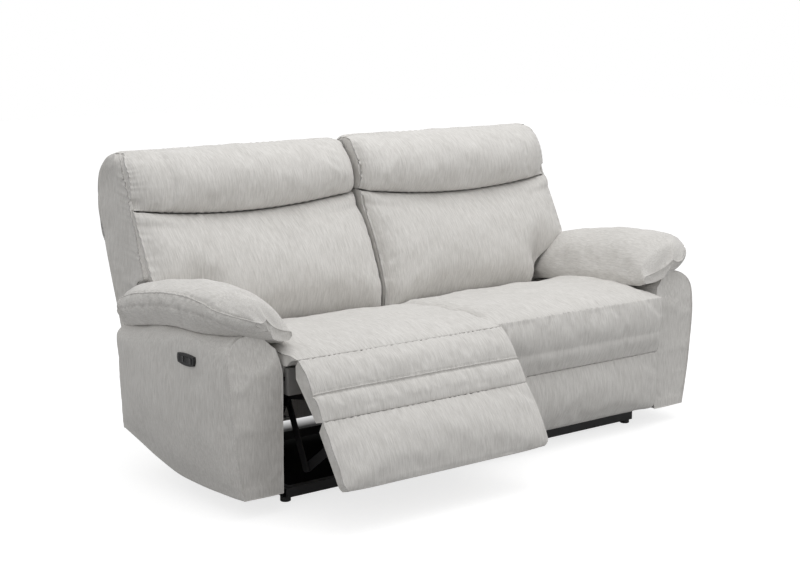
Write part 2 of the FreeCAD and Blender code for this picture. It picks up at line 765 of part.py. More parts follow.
def control_outline(depth0, depth1, shrink):
    """Barrel outline of the control, as a slab across the arm side (right arm)."""
    half = 44.5 - shrink
    mid = 18.5 - shrink
    end = 13.5 - shrink
    y, z = CONTROL_Y, CONTROL_Z
    start = (y - half, z - end)
    steps = [[(y, z - mid), (y + half, z - end)],
             [(y + half + 3, z), (y + half, z + end)],
             [(y, z + mid), (y - half, z + end)],
             [(y - half - 3, z), start]]
    return slab(start, steps, depth0, depth1)


ROCKERS = ((CONTROL_Y - 19.0, 16.0), (CONTROL_Y + 20.0, 12.0))
ROCKER_HALF_Z = 9.0
ROCKER_PIN_X = CONTROL_FACE - 4.0


def build_control_bezel():
    """Barrel-shaped switch housing let into the arm side, with wells for two rockers."""
    body = control_outline(CONTROL_FACE - 24, CONTROL_FACE, 0)
    for y, half in ROCKERS:
        well = box(CONTROL_FACE - 12, CONTROL_FACE + 1, y - half - 0.6, y + half + 0.6,
                   CONTROL_Z - ROCKER_HALF_Z - 0.4, CONTROL_Z + ROCKER_HALF_Z + 0.4)
        body = body.cut(well)
        socket = Part.makeCylinder(1.5 + 0.05, 2 * ROCKER_HALF_Z + 4.4,
                                   Vector(ROCKER_PIN_X, y, CONTROL_Z - ROCKER_HALF_Z - 2.2))
        body = body.cut(socket)
    return body


def build_rocker(index):
    """One rocker cap with its pivot stubs; the face dips at the middle."""
    y, half = ROCKERS[index]
    low, high = CONTROL_Z - ROCKER_HALF_Z, CONTROL_Z + ROCKER_HALF_Z
    back = CONTROL_FACE - 7
    place = lambda p: Vector(p[0], p[1], low)
    start = (back, y - half)
    steps = [[(CONTROL_FACE + 2.0, y - half)],
             [(CONTROL_FACE + 0.6, y), (CONTROL_FACE + 2.0, y + half)],
             [(back, y + half)],
             [(back - 1.5, y)],
             [start]]
    cap = Part.Face(outline(start, steps, place)).extrude(Vector(0, 0, high - low))
    stub = Part.makeCylinder(1.5, high - low + 4.0, Vector(ROCKER_PIN_X, y, low - 2.0))
    return join([cap, stub])


def add(name, solids):
    parts[name] = solids


def build_arms():
    arm_outer, cover = build_arm_cover()
    bezel = build_control_bezel()
    hole = control_outline(CONTROL_FACE - 24, CONTROL_FACE + 20, 0)
    cover = cover.cut(hole)
    for y in (150.0, 470.0):
        cover = cover.cut(box(ARM_IN - 5, ARM_IN + 7, y - 2, y + 62, 40, 144))
    frame = build_arm_frame()
    pad = build_arm_pad(arm_outer)
    rockers = [build_rocker(i) for i in range(len(ROCKERS))]
    for side in ("left", "right"):
        turn = flip if side == "left" else (lambda s: s)
        add(side + "_arm_frame", [turn(frame)])
        add(side + "_arm_cover", [turn(cover)])
        add(side + "_arm_pad", [turn(pad)])
        add(side + "_rocker_1", [turn(rockers[0])])
        add(side + "_rocker_2", [turn(rockers[1])])
    add("control_bezels", [bezel, flip(bezel)])


def build_base():
    add("feet", build_feet())
    add("base_rails", build_base_rails())
    add("base_side_plates", build_side_plates())
    add("motor_crossbars", build_crossbars())
    add("drive_motors", build_drive_motors())
    add("arm_bolts", build_arm_bolts())
    add("rear_base_panel", build_rear_panel())
    add("power_inlet", build_power_inlet())
    add("power_supply", build_power_supply())


def build_seats():
    lumbar, head = build_back_cushions()
    pieces = [
        ("seat_frame", build_seat_frame(), seat_pose),
        ("seat_springs", build_seat_springs(), seat_pose),
        ("seat_cushion", build_seat_cushion(), seat_pose),
        ("seat_plates", build_seat_plates(), seat_pose),
        ("drive_rod", build_drive_rod(), seat_pose),
        ("front_rollers", build_rollers(FRONT_AXLE), seat_pose),
        ("rear_rollers", build_rollers(REAR_AXLE), seat_pose),
        ("calf_pad", build_calf_pad(), calf_pose),
        ("calf_board", build_calf_board(), calf_pose),
        ("foot_pad", build_foot_pad(), foot_pose),
        ("foot_board", build_foot_board(), foot_pose),
        ("foot_brackets", build_foot_brackets(), foot_pose),
        ("long_links", build_cranks(), crank_pose),
        ("short_links", build_short_links(), elbow_pose),
        ("back_frame", build_back_frame(), back_pose),
        ("back_springs", build_back_springs(), back_pose),
        ("back_brackets", build_back_brackets(), back_pose),
        ("back_cover", build_back_cover(), back_pose),
        ("back_cushion", lumbar, back_pose),
        ("head_cushion", head, back_pose),
    ]
    for side in ("left", "right"):
        for name, solids, pose in pieces:
            turned = [flip(s) if side == "left" else s for s in solids]
            add(side + "_" + name, [pose(s, side) for s in turned])


def write_parts():
    os.makedirs("parts", exist_ok=True)
    for name, solids in parts.items():
        whole = Part.makeCompound(solids) if len(solids) > 1 else solids[0]
        whole = whole.copy()
        whole.translate(Vector(0, -ORIGIN_Y, 0))
        whole.exportStep(os.path.join("parts", name + ".step"))


build_base()
build_arms()
build_seats()
write_parts()
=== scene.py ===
"""Looks of the reclining two-seat sofa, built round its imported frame.

Shapes are drawn for the right half, closed and upright, in bench millimetres: x from the middle
of the sofa, y from the arm fronts to the rear, z from the floor. They are then set as each half
stands, and moved to the frame in metres.
"""

import json
import logging
import math
from dataclasses import dataclass, field
from enum import Enum
from functools import reduce
from typing import Any, Callable, Sequence

import bpy
import numpy as np
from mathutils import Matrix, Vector

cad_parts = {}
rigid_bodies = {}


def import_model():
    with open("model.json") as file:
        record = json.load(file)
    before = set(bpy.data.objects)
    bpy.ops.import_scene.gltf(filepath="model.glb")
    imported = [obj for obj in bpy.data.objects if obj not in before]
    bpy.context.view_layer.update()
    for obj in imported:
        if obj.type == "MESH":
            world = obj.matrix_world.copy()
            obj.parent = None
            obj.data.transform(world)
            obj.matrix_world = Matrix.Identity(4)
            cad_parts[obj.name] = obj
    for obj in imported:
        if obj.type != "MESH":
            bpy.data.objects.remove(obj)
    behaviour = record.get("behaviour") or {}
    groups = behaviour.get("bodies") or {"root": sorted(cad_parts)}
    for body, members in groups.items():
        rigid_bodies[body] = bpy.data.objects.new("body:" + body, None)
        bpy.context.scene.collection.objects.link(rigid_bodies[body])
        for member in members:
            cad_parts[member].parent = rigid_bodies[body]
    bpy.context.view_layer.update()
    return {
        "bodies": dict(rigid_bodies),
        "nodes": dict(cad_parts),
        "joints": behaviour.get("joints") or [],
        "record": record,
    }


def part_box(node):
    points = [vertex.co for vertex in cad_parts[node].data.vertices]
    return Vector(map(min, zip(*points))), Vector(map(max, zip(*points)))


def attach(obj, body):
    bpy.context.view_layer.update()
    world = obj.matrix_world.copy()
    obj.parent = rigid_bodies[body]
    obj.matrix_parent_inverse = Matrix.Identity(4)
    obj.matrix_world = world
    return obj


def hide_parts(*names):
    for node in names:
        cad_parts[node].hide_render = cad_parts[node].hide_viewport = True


LOG = logging.getLogger("sofa")
MM = 0.001
Pair = tuple[float, float]
Way = Callable[[np.ndarray], np.ndarray]


class Side(Enum):
    """Half of the sofa, as seen from the front."""

    LEFT = -1
    RIGHT = 1

    @property
    def word(self) -> str:
        """Name that the half has in piece and body names."""
        return self.name.lower()


class Weave(Enum):
    """Way that the slubs of the cloth run on a piece."""

    UP_THE_SEAT = (1.0, 0.09, 0.09)
    ALONG_THE_ARM = (1.0, 0.1, 1.0)
    DOWN_THE_SIDE = (1.0, 1.0, 0.09)


# Curves and fields


def trace(start: Pair, *steps: tuple) -> np.ndarray:
    """Points along straight and round runs in one plane.

    Args:
        start: First point.
        steps: For each run the number of cells, then its end, or a point on its arc and its end.

    Returns:
        All points, the start among them, one row each.
    """
    here = np.array(start, float)
    points = [here]
    for cells, *ends in steps:
        end = np.array(ends[-1], float)
        shares = np.linspace(0, 1, cells + 1)[1:]
        if len(ends) == 1:
            points += [here + (end - here) * t for t in shares]
        else:
            points += list(arc_points(here, np.array(ends[0], float), end, shares))
        here = end
    return np.array(points)


def arc_points(a: np.ndarray, b: np.ndarray, c: np.ndarray, shares: np.ndarray) -> np.ndarray:
    """Points on the arc from a through b to c.

    Args:
        a: Start of the arc.
        b: Point on the arc.
        c: End of the arc.
        shares: How far along the arc each point lies, from 0 to 1.

    Returns:
        One row for each share.
    """
    system = 2 * np.array([b - a, c - a])
    centre = np.linalg.solve(system, [b @ b - a @ a, c @ c - a @ a])
    angles = [math.atan2(*(p - centre)[::-1]) for p in (a, b, c)]
    to_middle = (angles[1] - angles[0]) % (2 * math.pi)
    to_end = (angles[2] - angles[0]) % (2 * math.pi)
    if to_middle > to_end:
        to_end -= 2 * math.pi
    turn = angles[0] + to_end * shares
    radius = np.linalg.norm(a - centre)
    return centre + radius * np.stack([np.cos(turn), np.sin(turn)], 1)


def lengths_along(points: np.ndarray) -> np.ndarray:
    """Length of a line up to each of its points."""
    return np.concatenate([[0], np.cumsum(np.linalg.norm(np.diff(points, axis=0), axis=1))])


def resample(points: np.ndarray, cells: int) -> np.ndarray:
    """The same line in steps of equal length.

    Args:
        points: Line, one row for each point.
        cells: Number of steps.

    Returns:
        The points of the steps, the ends among them.
    """
    lengths = lengths_along(points)
    wanted = np.linspace(0, lengths[-1], cells + 1)
    return np.stack([np.interp(wanted, lengths, column) for column in points.T], 1)


def at_x(x: float, line: np.ndarray) -> np.ndarray:
    """Line of the side view, set at one place across the sofa."""
    return np.column_stack([np.full(len(line), x), line])


def at_y(y: Any, line: np.ndarray) -> np.ndarray:
    """Line of the front view, set at one depth, or at a depth for each point."""
    return np.column_stack([line[:, 0], np.broadcast_to(y, len(line)), line[:, 1]])


def smooth_row(x: Any, knots: Sequence[float], values: Sequence[float]) -> Any:
    """Smooth curve through measured values, level with them at each knot.

    Args:
        x: Place, or places.
        knots: Places of the measured values.
        values: Measured values.

    Returns:
        The value at each place.
    """
    knots, values = np.array(knots, float), np.array(values, float)
    x = np.clip(x, knots[0], knots[-1])
    slopes = np.gradient(values, knots)
    i = np.clip(np.searchsorted(knots, x, side="right") - 1, 0, len(knots) - 2)
    span = knots[i + 1] - knots[i]
    t = (x - knots[i]) / span
    return ((2 * t**3 - 3 * t**2 + 1) * values[i] + (t**3 - 2 * t**2 + t) * span * slopes[i]
            + (3 * t**2 - 2 * t**3) * values[i + 1] + (t**3 - t**2) * span * slopes[i + 1])


def fade(x: Any, low: float, high: float) -> Any:
    """Smooth step from 0 at low to 1 at high."""
    t = np.clip((np.asarray(x, float) - low) / (high - low), 0, 1)
    return t * t * (3 - 2 * t)


def ripple(points: np.ndarray, length: float, seed: int, waves: int = 14) -> np.ndarray:
    """Uneven field of about unit height over any number of directions.

    Args:
        points: Places in millimetres, one row each.
        length: Usual length of a wave.
        seed: Which of the possible fields.
        waves: Number of plain waves added up.

    Returns:
        One height for each place.
    """
    random = np.random.default_rng(seed)
    total = np.zeros(len(points))
    for _ in range(waves):
        direction = random.normal(size=points.shape[1])
        direction /= np.linalg.norm(direction)
        rate = 2 * math.pi / (length * random.uniform(0.7, 1.5))
        total += np.sin(points @ direction * rate + random.uniform(0, 2 * math.pi))
    return total / math.sqrt(waves / 2)


def ends_of(along: np.ndarray, length: float) -> np.ndarray:
    """Share that fades to nothing at both ends of a length."""
    return fade(along, 0, 20) * (1 - fade(along, length - 20, length))


# How the halves stand


@dataclass(frozen=True)
class Linkage:
    """Pivots of one half in the side view, and how far the left half stands open."""

    seam: Pair = (-28.0, 470.0)
    fold: Pair = (-12.0, 272.0)
    back: Pair = (640.0, 262.0)
    slope: float = 5.0
    travel: float = 46.0
    opening: float = 42.4
    lag: float = -0.2
    lean: float = 3.5

    @staticmethod
    def turned(points: np.ndarray, pivot: Pair, degrees: float) -> np.ndarray:
        """Points turned about a line across the sofa; positive lifts the front.

        Args:
            points: Places in millimetres.
            pivot: Place of the line in the side view.
            degrees: How far they turn.

        Returns:
            The turned points.
        """
        c, s = math.cos(math.radians(degrees)), math.sin(math.radians(degrees))
        y, z = points[:, 1] - pivot[0], points[:, 2] - pivot[1]
        return np.stack([points[:, 0], pivot[0] + y * c + z * s, pivot[1] - y * s + z * c], 1)

    def seat(self, points: np.ndarray) -> np.ndarray:
        """Rolled forward on the tracks."""
        angle = math.radians(self.slope)
        return points + self.travel * np.array([0, -math.cos(angle), math.sin(angle)])

    def calf(self, points: np.ndarray) -> np.ndarray:
        """Swung out under the seat front."""
        return self.seat(self.turned(points, self.seam, self.opening))

    def foot(self, points: np.ndarray) -> np.ndarray:
        """Carried by the calf panel, folded a little less."""
        return self.calf(self.turned(points, self.fold, self.lag * self.opening))

    def leaned(self, points: np.ndarray) -> np.ndarray:
        """Leaned back about the base pivot."""
        return self.turned(points, self.back, self.lean)

    def fixed(self, points: np.ndarray) -> np.ndarray:
        """Left where it is."""
        return points


# Measures that several pieces share


FRONT_RAIL_Y = 61.0
SUPPORT_FOOT = (671.0, 428.0)
SUPPORT_SLOPE = 0.242
SEAT_STATIONS = (4, 40, 110, 250, 392, 534, 674, 744, 780)
SEAT_DROPS = (17, 9, 3, -1, -3, -1, 3, 11, 19)
BACK_STATIONS = (4, 44, 130, 300, 448, 600, 740, 836, 893)


def support_y(z: Any) -> Any:
    """Plane behind the back cushions in the side view."""
    return SUPPORT_FOOT[0] + (z - SUPPORT_FOOT[1]) * SUPPORT_SLOPE


def seat_drop(x: float) -> float:
    """How far the top of the seat lies under its crown line."""
    return float(smooth_row(x, SEAT_STATIONS, SEAT_DROPS))


# Blender objects and nodes


def put(name: str, data: Any) -> bpy.types.Object:
    """Object of a mesh, lamp or camera, put in the scene.

    Args:
        name: Name of the object.
        data: What it shows.

    Returns:
        The object.
    """
    piece = bpy.data.objects.new(name, data)
    bpy.context.scene.collection.objects.link(piece)
    return piece


class NodePlan:
    """Short way to lay out nodes."""

    tree: bpy.types.NodeTree

    def add(self, kind: str, inputs: dict[Any, Any] | None = None, **settings: Any) -> Any:
        """Add one node.

        Args:
            kind: Node type.
            inputs: Value or output socket for each input, by name or number.
            settings: Properties of the node.

        Returns:
            The node.
        """
        node = self.tree.nodes.new(kind)
        for name, value in settings.items():
            setattr(node, name, value)
        for key, value in (inputs or {}).items():
            if isinstance(value, bpy.types.NodeSocket):
                self.tree.links.new(value, node.inputs[key])
            else:
                node.inputs[key].default_value = value
        return node


class Tree(NodePlan):
    """Nodes of a finish or of the world."""

    def __init__(self, owner: bpy.types.Material | bpy.types.World) -> None:
        """Start from an empty tree."""
        owner.use_nodes = True
        self.tree = owner.node_tree
        self.tree.nodes.clear()

    def place(self) -> Any:
        """Coordinates of the object."""
        return self.add("ShaderNodeTexCoord").outputs["Object"]

    def stretched(self, scale: Sequence[float]) -> Any:
        """Object coordinates stretched by a scale along each axis."""
        return self.add("ShaderNodeMapping", {"Vector": self.place(), "Scale": scale}).outputs[0]

    def noise(self, place: Any, scale: float, detail: float = 2.0, rough: float = 0.5) -> Any:
        """Noise value at a place."""
        return self.add("ShaderNodeTexNoise", {"Vector": place, "Scale": scale, "Detail": detail,
                                               "Roughness": rough}).outputs["Fac"]

    def ramp(self, value: Any, stops: Sequence[tuple[float, Sequence[float]]]) -> Any:
        """Colour ramp over a value.

        Args:
            value: Socket from 0 to 1.
            stops: Place and colour of each stop.

        Returns:
            The colour socket.
        """
        node = self.add("ShaderNodeValToRGB", {"Fac": value})
        elements = node.color_ramp.elements
        while len(elements) < len(stops):
            elements.new(0.5)
        for element, (place, colour) in zip(elements, stops):
            element.position = place
            element.color = (*colour[:3], 1.0)
        return node.outputs["Color"]

    def grey(self, value: Any, low: float, high: float) -> Any:
        """Value from 0 to 1 put between two others."""
        inputs = {"Value": value, "To Min": low, "To Max": high}
        return self.add("ShaderNodeMapRange", inputs).outputs[0]

    def math(self, operation: str, a: Any, b: Any) -> Any:
        """Sum, product or the like of two values."""
        return self.add("ShaderNodeMath", {0: a, 1: b}, operation=operation).outputs[0]

    def mixed(self, parts: Sequence[tuple[Any, float]]) -> Any:
        """Sum of values, each with its weight."""
        shares = [self.math("MULTIPLY", value, weight) for value, weight in parts]
        return reduce(lambda total, share: self.math("ADD", total, share), shares)

    def bump(self, height: Any, strength: float, distance: float) -> Any:
        """Normal that follows a height."""
        inputs = {"Height": height, "Strength": strength, "Distance": distance}
        return self.add("ShaderNodeBump", inputs).outputs[0]

    def coat(self, inputs: dict[str, Any]) -> None:
        """Lead the usual shader with these inputs to the output."""
        self.finish(self.add("ShaderNodeBsdfPrincipled", inputs))

    def finish(self, shader: Any) -> None:
        """Lead a shader to the output."""
        self.add("ShaderNodeOutputMaterial", {"Surface": shader.outputs[0]})


# Finishes


@dataclass(frozen=True)
class Chenille:
    """Warm light grey slub cloth; the slubs run one way on each piece."""

    weave: Weave
    light: tuple[float, float, float] = (0.700, 0.684, 0.660)
    dark: tuple[float, float, float] = (0.540, 0.525, 0.500)
    slub_scale: float = 330.0
    yarn_scale: float = 900.0
    cloud_scale: float = 7.0
    shares: tuple[float, ...] = (0.46, 0.14, 0.28, 0.12)
    stops: tuple[float, ...] = (0.38, 0.5, 0.6)

    def make(self) -> bpy.types.Material:
        """Cloth with long slubs, fine yarn and a soft sheen.

        Returns:
            The material.
        """
        material = bpy.data.materials.new("chenille_" + self.weave.name.lower())
        tree = Tree(material)
        lines = tree.stretched(self.weave.value)
        slub = tree.noise(lines, self.slub_scale, 3.0, 0.62)
        broad = tree.noise(lines, self.slub_scale * 0.5, 2.0, 0.5)
        plain = tree.stretched((1, 1, 1))
        yarn = tree.noise(plain, self.yarn_scale, 2.0, 0.6)
        cloud = tree.noise(plain, self.cloud_scale, 2.0, 0.5)
        mixed = tree.mixed(list(zip((slub, broad, yarn, cloud), self.shares)))
        middle = tuple((a + b) / 2 for a, b in zip(self.light, self.dark))
        colour = tree.ramp(mixed, list(zip(self.stops, (self.dark, middle, self.light))))
        height = tree.mixed([(slub, 0.7), (yarn, 0.5)])
        tree.coat({"Base Color": colour, "Roughness": tree.grey(yarn, 0.82, 0.97),
                   "Normal": tree.bump(height, 0.35, 0.0012), "Sheen Weight": 0.25,
                   "Sheen Roughness": 0.45, "Specular IOR Level": 0.2})
        return material


@dataclass(frozen=True)
class Coated:
    """Powder coat, moulded plastic or rubber: nearly even, with a fine skin texture."""

    name: str
    colour: tuple[float, float, float]
    roughness: float
    grain: float = 900.0
    depth: float = 0.0002
    spread: float = 0.12

    def make(self) -> bpy.types.Material:
        """Base colour that varies a little, rubbed areas and an orange-peel bump.

        Returns:
            The material.
        """
        material = bpy.data.materials.new(self.name)
        tree = Tree(material)
        plain = tree.stretched((1, 1, 1))
        cloud = tree.noise(plain, 14.0, 3.0)
        fine = tree.noise(plain, self.grain, 2.0)
        low = tuple(c * (1 - self.spread) for c in self.colour)
        high = tuple(min(1.0, c * (1 + self.spread)) for c in self.colour)
        colour = tree.ramp(cloud, [(0.3, low), (0.7, high)])
        rough = tree.grey(cloud, self.roughness - 0.06, self.roughness + 0.08)
        tree.coat({"Base Color": colour, "Roughness": rough,
                   "Normal": tree.bump(fine, 0.3, self.depth)})
        return material


@dataclass(frozen=True)
class Drawn:
    """Bare or plated steel with fine lines along one axis."""

    name: str
    colour: tuple[float, float, float]
    roughness: float
    lines: tuple[float, float, float]

    def make(self) -> bpy.types.Material:
        """Metal with drawing marks in its roughness and bump.

        Returns:
            The material.
        """
        material = bpy.data.materials.new(self.name)
        tree = Tree(material)
        marks = tree.noise(tree.stretched(self.lines), 500.0, 3.0)
        cloud = tree.noise(tree.stretched((1, 1, 1)), 25.0, 2.0)
        low = tuple(c * 0.82 for c in self.colour)
        colour = tree.ramp(cloud, [(0.3, low), (0.65, self.colour)])
        tree.coat({"Base Color": colour, "Metallic": 1.0, "Normal": tree.bump(marks, 0.2, 0.0002),
                   "Roughness": tree.grey(marks, self.roughness - 0.08, self.roughness + 0.12)})
        return material


@dataclass(frozen=True)
class Timber:
    """Plywood and softwood of the frames: long grain with darker veins."""

    name: str = "frame_timber"
    light: tuple[float, float, float] = (0.52, 0.37, 0.22)
    dark: tuple[float, float, float] = (0.33, 0.21, 0.11)

    def make(self) -> bpy.types.Material:
        """Grain lines along x with pores.

        Returns:
            The material.
        """
        material = bpy.data.materials.new(self.name)
        tree = Tree(material)
        grain = tree.noise(tree.stretched((0.5, 9.0, 9.0)), 14.0, 5.0, 0.6)
        pores = tree.noise(tree.stretched((1.0, 14.0, 14.0)), 90.0, 2.0)
        colour = tree.ramp(grain, [(0.35, self.dark), (0.5, self.light), (0.75, self.light)])
        height = tree.math("ADD", grain, pores)
        tree.coat({"Base Color": colour, "Roughness": tree.grey(pores, 0.55, 0.8),
                   "Normal": tree.bump(height, 0.3, 0.0004)})
        return material


class Finishes:
    """Every finish of the sofa, made once."""

    def __init__(self) -> None:
        """Make the finishes."""
        self.cloth = {weave: Chenille(weave).make() for weave in Weave}
        self.thread = Coated("sewing_thread", (0.56, 0.545, 0.52), 0.8, 2500.0).make()
        self.black_steel = Coated("black_powder_coat", (0.014, 0.014, 0.015), 0.42, 1400.0).make()
        self.casing = Coated("motor_casing", (0.045, 0.046, 0.05), 0.5, 1800.0).make()
        self.moulded = Coated("moulded_black", (0.012, 0.012, 0.013), 0.34, 2600.0, 0.0001).make()
        self.cap = Coated("rocker_black", (0.02, 0.02, 0.021), 0.26, 3200.0, 0.00006).make()
        self.glide = Coated("glide_plastic", (0.02, 0.02, 0.02), 0.6, 1500.0).make()
        self.nylon = Coated("nylon", (0.62, 0.60, 0.55), 0.45, 1700.0).make()
        self.bright = Drawn("bright_steel", (0.62, 0.62, 0.63), 0.3, (9.0, 0.5, 9.0)).make()
        self.zinc = Drawn("zinc_plate", (0.42, 0.43, 0.45), 0.42, (1.0, 6.0, 1.0)).make()
        self.spring = Drawn("spring_wire", (0.16, 0.155, 0.15), 0.4, (6.0, 1.0, 6.0)).make()
        self.lining = Coated("dust_lining", (0.21, 0.205, 0.2), 0.9, 1500.0, 0.0004).make()
        self.timber = Timber().make()


# Sewn skins


@dataclass
class Skin:
    """Closed cloth skin of four-sided cells.

    Each point keeps its measure: millimetres across or along the piece, millimetres along its
    face, and the share from the face (0) to the rear (1).
    """

    points: np.ndarray
    measures: np.ndarray
    cells: np.ndarray

    @classmethod
    def over(cls, face: Sequence[np.ndarray], rear: Sequence[np.ndarray], through: int,
             first: np.ndarray, bridge: Callable[..., np.ndarray] | None = None) -> "Skin":
        """Skin over the block between a face grid and a rear grid.

        Args:
            face: Grid of points, columns by rows by 3.
            rear: Grid of the same size behind it.
            through: Number of cells from face to rear.
            first: Measure of each column.
            bridge: Offset of a point by its column, row and share through, if not straight.

        Returns:
            The skin, facing outwards.
        """
        face, rear = np.array(face), np.array(rear)
        columns, rows = face.shape[0] - 1, face.shape[1] - 1
        index = np.full((columns + 1, rows + 1, through + 1), -1)
        i, j, k = np.indices(index.shape)
        outside = ((i % columns == 0) | (j % rows == 0) | (k % through == 0))
        index[outside] = np.arange(outside.sum())
        i, j, k = i[outside], j[outside], k[outside]
        share = (k / through)[:, None]
        points = face[i, j] * (1 - share) + rear[i, j] * share
        if bridge is not None:
            points = points + bridge(i, j, share[:, 0])
        lengths = lengths_along(face[columns // 2])
        measures = np.stack([np.asarray(first, float)[i], lengths[j], share[:, 0]], 1)
        sheets = [index[:, :, 0], index[:, ::-1, -1], index[0].T, index[-1, :, ::-1].T,
                  index[:, 0, ::-1], index[:, -1]]
        cells = np.concatenate([np.stack([g[:-1, :-1], g[1:, :-1], g[1:, 1:], g[:-1, 1:]], -1)
                                .reshape(-1, 4) for g in sheets])
        skin = cls(points, measures, cells)
        return skin if skin.volume() > 0 else skin.reversed()

    def volume(self) -> float:
        """Volume inside, negative where the cells face inwards."""
        a, b, c, d = (self.points[self.cells[:, n]] for n in range(4))
        return float((np.cross(a, b) * c).sum() + (np.cross(a, c) * d).sum()) / 6

    def reversed(self) -> "Skin":
        """The same skin with its cells turned round."""
        return Skin(self.points, self.measures, self.cells[:, ::-1])

    def normals(self) -> np.ndarray:
        """Outward direction at each point.

        Returns:
            One row of unit length for each point.
        """
        a, b, c, d = (self.points[self.cells[:, n]] for n in range(4))
        faces = np.cross(c - a, d - b)
        total = np.zeros_like(self.points)
        for n in range(4):
            np.add.at(total, self.cells[:, n], faces)
        return total / np.maximum(np.linalg.norm(total, axis=1), 1e-9)[:, None]

    def pushed(self, heights: np.ndarray) -> "Skin":
        """Skin with each point moved outwards by a height."""
        return Skin(self.points + self.normals() * heights[:, None], self.measures, self.cells)

    def moved(self, points: np.ndarray) -> "Skin":
        """The same cells over other places."""
        return Skin(points, self.measures, self.cells)

    def mesh(self, name: str) -> bpy.types.Mesh:
        """Mesh in metres with the measures as an attribute.

        Args:
            name: Name of the mesh.

        Returns:
            The mesh.
        """
        mesh = bpy.data.meshes.new(name)
        mesh.from_pydata((self.points * MM).tolist(), [], self.cells.tolist())
        layer = mesh.attributes.new("measure", "FLOAT_VECTOR", "POINT")
        layer.data.foreach_set("vector", self.measures.astype(np.float32).ravel())
        mesh.shade_smooth()
        return mesh

    @classmethod
    def read(cls, mesh: bpy.types.Mesh) -> "Skin":
        """Skin of a mesh that mesh() made and a modifier changed.

        Args:
            mesh: Mesh with the measures as an attribute.

        Returns:
            The skin.
        """
        points = np.zeros(len(mesh.vertices) * 3, np.float32)
        mesh.vertices.foreach_get("co", points)
        measures = np.zeros(len(mesh.vertices) * 3, np.float32)
        mesh.attributes["measure"].data.foreach_get("vector", measures)
        corners = np.zeros(len(mesh.loops), np.int32)
        mesh.loops.foreach_get("vertex_index", corners)
        return cls(points.reshape(-1, 3).astype(float) / MM,
                   measures.reshape(-1, 3).astype(float), corners.reshape(-1, 4))

    def seam(self, chosen: np.ndarray, order: int, proud: float) -> np.ndarray:
        """Points of a seam in sewing order.

        Args:
            chosen: Which points lie on it.
            order: Column of the measures that grows along it.
            proud: How far it stands out from the skin.

        Returns:
            One row for each point.
        """
        points = (self.points + self.normals() * proud)[chosen]
        return points[np.argsort(self.measures[chosen][:, order], kind="stable")]

    def smoothed(self) -> "Skin":
        """Skin with every cell divided in four along a smooth surface.

        Returns:
            The smoother skin.
        """
        piece = put("smoothing", self.mesh("smoothing"))
        piece.modifiers.new("smooth", "SUBSURF").levels = 1
        piece.modifiers["smooth"].render_levels = 1
        skin = Skin.read(plain_mesh(piece, "smoothed"))
        bpy.data.objects.remove(piece)
        return skin


def plain_mesh(piece: bpy.types.Object, name: str) -> bpy.types.Mesh:
    """Mesh of a piece as its modifiers leave it.

    Args:
        piece: Object with modifiers.
        name: Name of the new mesh.

    Returns:
        The mesh.
    """
    graph = bpy.context.evaluated_depsgraph_get()
    mesh = bpy.data.meshes.new_from_object(piece.evaluated_get(graph))
    mesh.name = name
    return mesh


@dataclass(frozen=True)
class Filling:
    """How a skin is stuffed.

    Args:
        pressure: Push of the filling.
        slack: Share of cloth over what lies flat.
        limit: Furthest that a point may move, in millimetres.
        frames: Steps of the simulation.
        quality: Substeps in each.
        stiffness: Resistance of the cloth to tension and pressure.
        shear: Share of it that the cloth sets against shear.
        bending: Resistance to bending.
    """

    pressure: float = 4.0
    slack: float = 0.015
    limit: float = 24.0
    frames: int = 12
    quality: int = 3
    stiffness: float = 18.0
    shear: float = 0.4
    bending: float = 1.2

    def stuffed(self, skin: Skin, held: np.ndarray) -> Skin:
        """Skin swollen by its filling.

        Args:
            skin: Skin to fill.
            held: How firmly each point stays, from 0 to 1.
        """
        scene = bpy.context.scene
        piece = put("stuffing", skin.mesh("stuffing"))
        pins = piece.vertex_groups.new(name="held")
        for level in np.unique(np.round(held, 2)):
            chosen = np.nonzero(np.abs(held - level) < 0.006)[0]
            if level > 0:
                pins.add(chosen.tolist(), float(level), "REPLACE")
        cloth = piece.modifiers.new("filling", "CLOTH")
        settings = cloth.settings
        settings.vertex_group_mass = "held"
        settings.use_pressure = True
        settings.uniform_pressure_force = self.pressure
        settings.shrink_min = -self.slack
        settings.quality = self.quality
        settings.tension_stiffness = self.stiffness
        settings.compression_stiffness = self.stiffness
        settings.shear_stiffness = self.stiffness * self.shear
        settings.bending_stiffness = self.bending
        settings.effector_weights.gravity = 0
        cloth.point_cache.frame_start = 1
        cloth.point_cache.frame_end = self.frames
        for frame in range(1, self.frames + 1):
            scene.frame_set(frame)
        filled = Skin.read(plain_mesh(piece, "stuffed"))
        bpy.data.objects.remove(piece)
        scene.frame_set(1)
        step = filled.points - skin.points
        size = np.linalg.norm(step, axis=1)
        reach = self.limit * np.tanh(size / self.limit)
        step *= (reach / np.maximum(size, 1e-9))[:, None]
        LOG.info("filled: mean %.1f mm, most %.1f mm", size.mean(), size.max())
        return skin.moved(skin.points + step)

    def plumped(self, skin: Skin, held: np.ndarray, hollow: float, share: np.ndarray) -> Skin:
        """Skin that is first drawn in where it is free, then stuffed and smoothed.

        Args:
            skin: Skin to fill.
            held: How firmly each point stays, from 0 to 1.
            hollow: How far it is drawn in, in millimetres.
            share: Share of that at each point.

        Returns:
            The filled skin.
        """
        return self.stuffed(skin.pushed(-hollow * (1 - held) * share), held).smoothed()


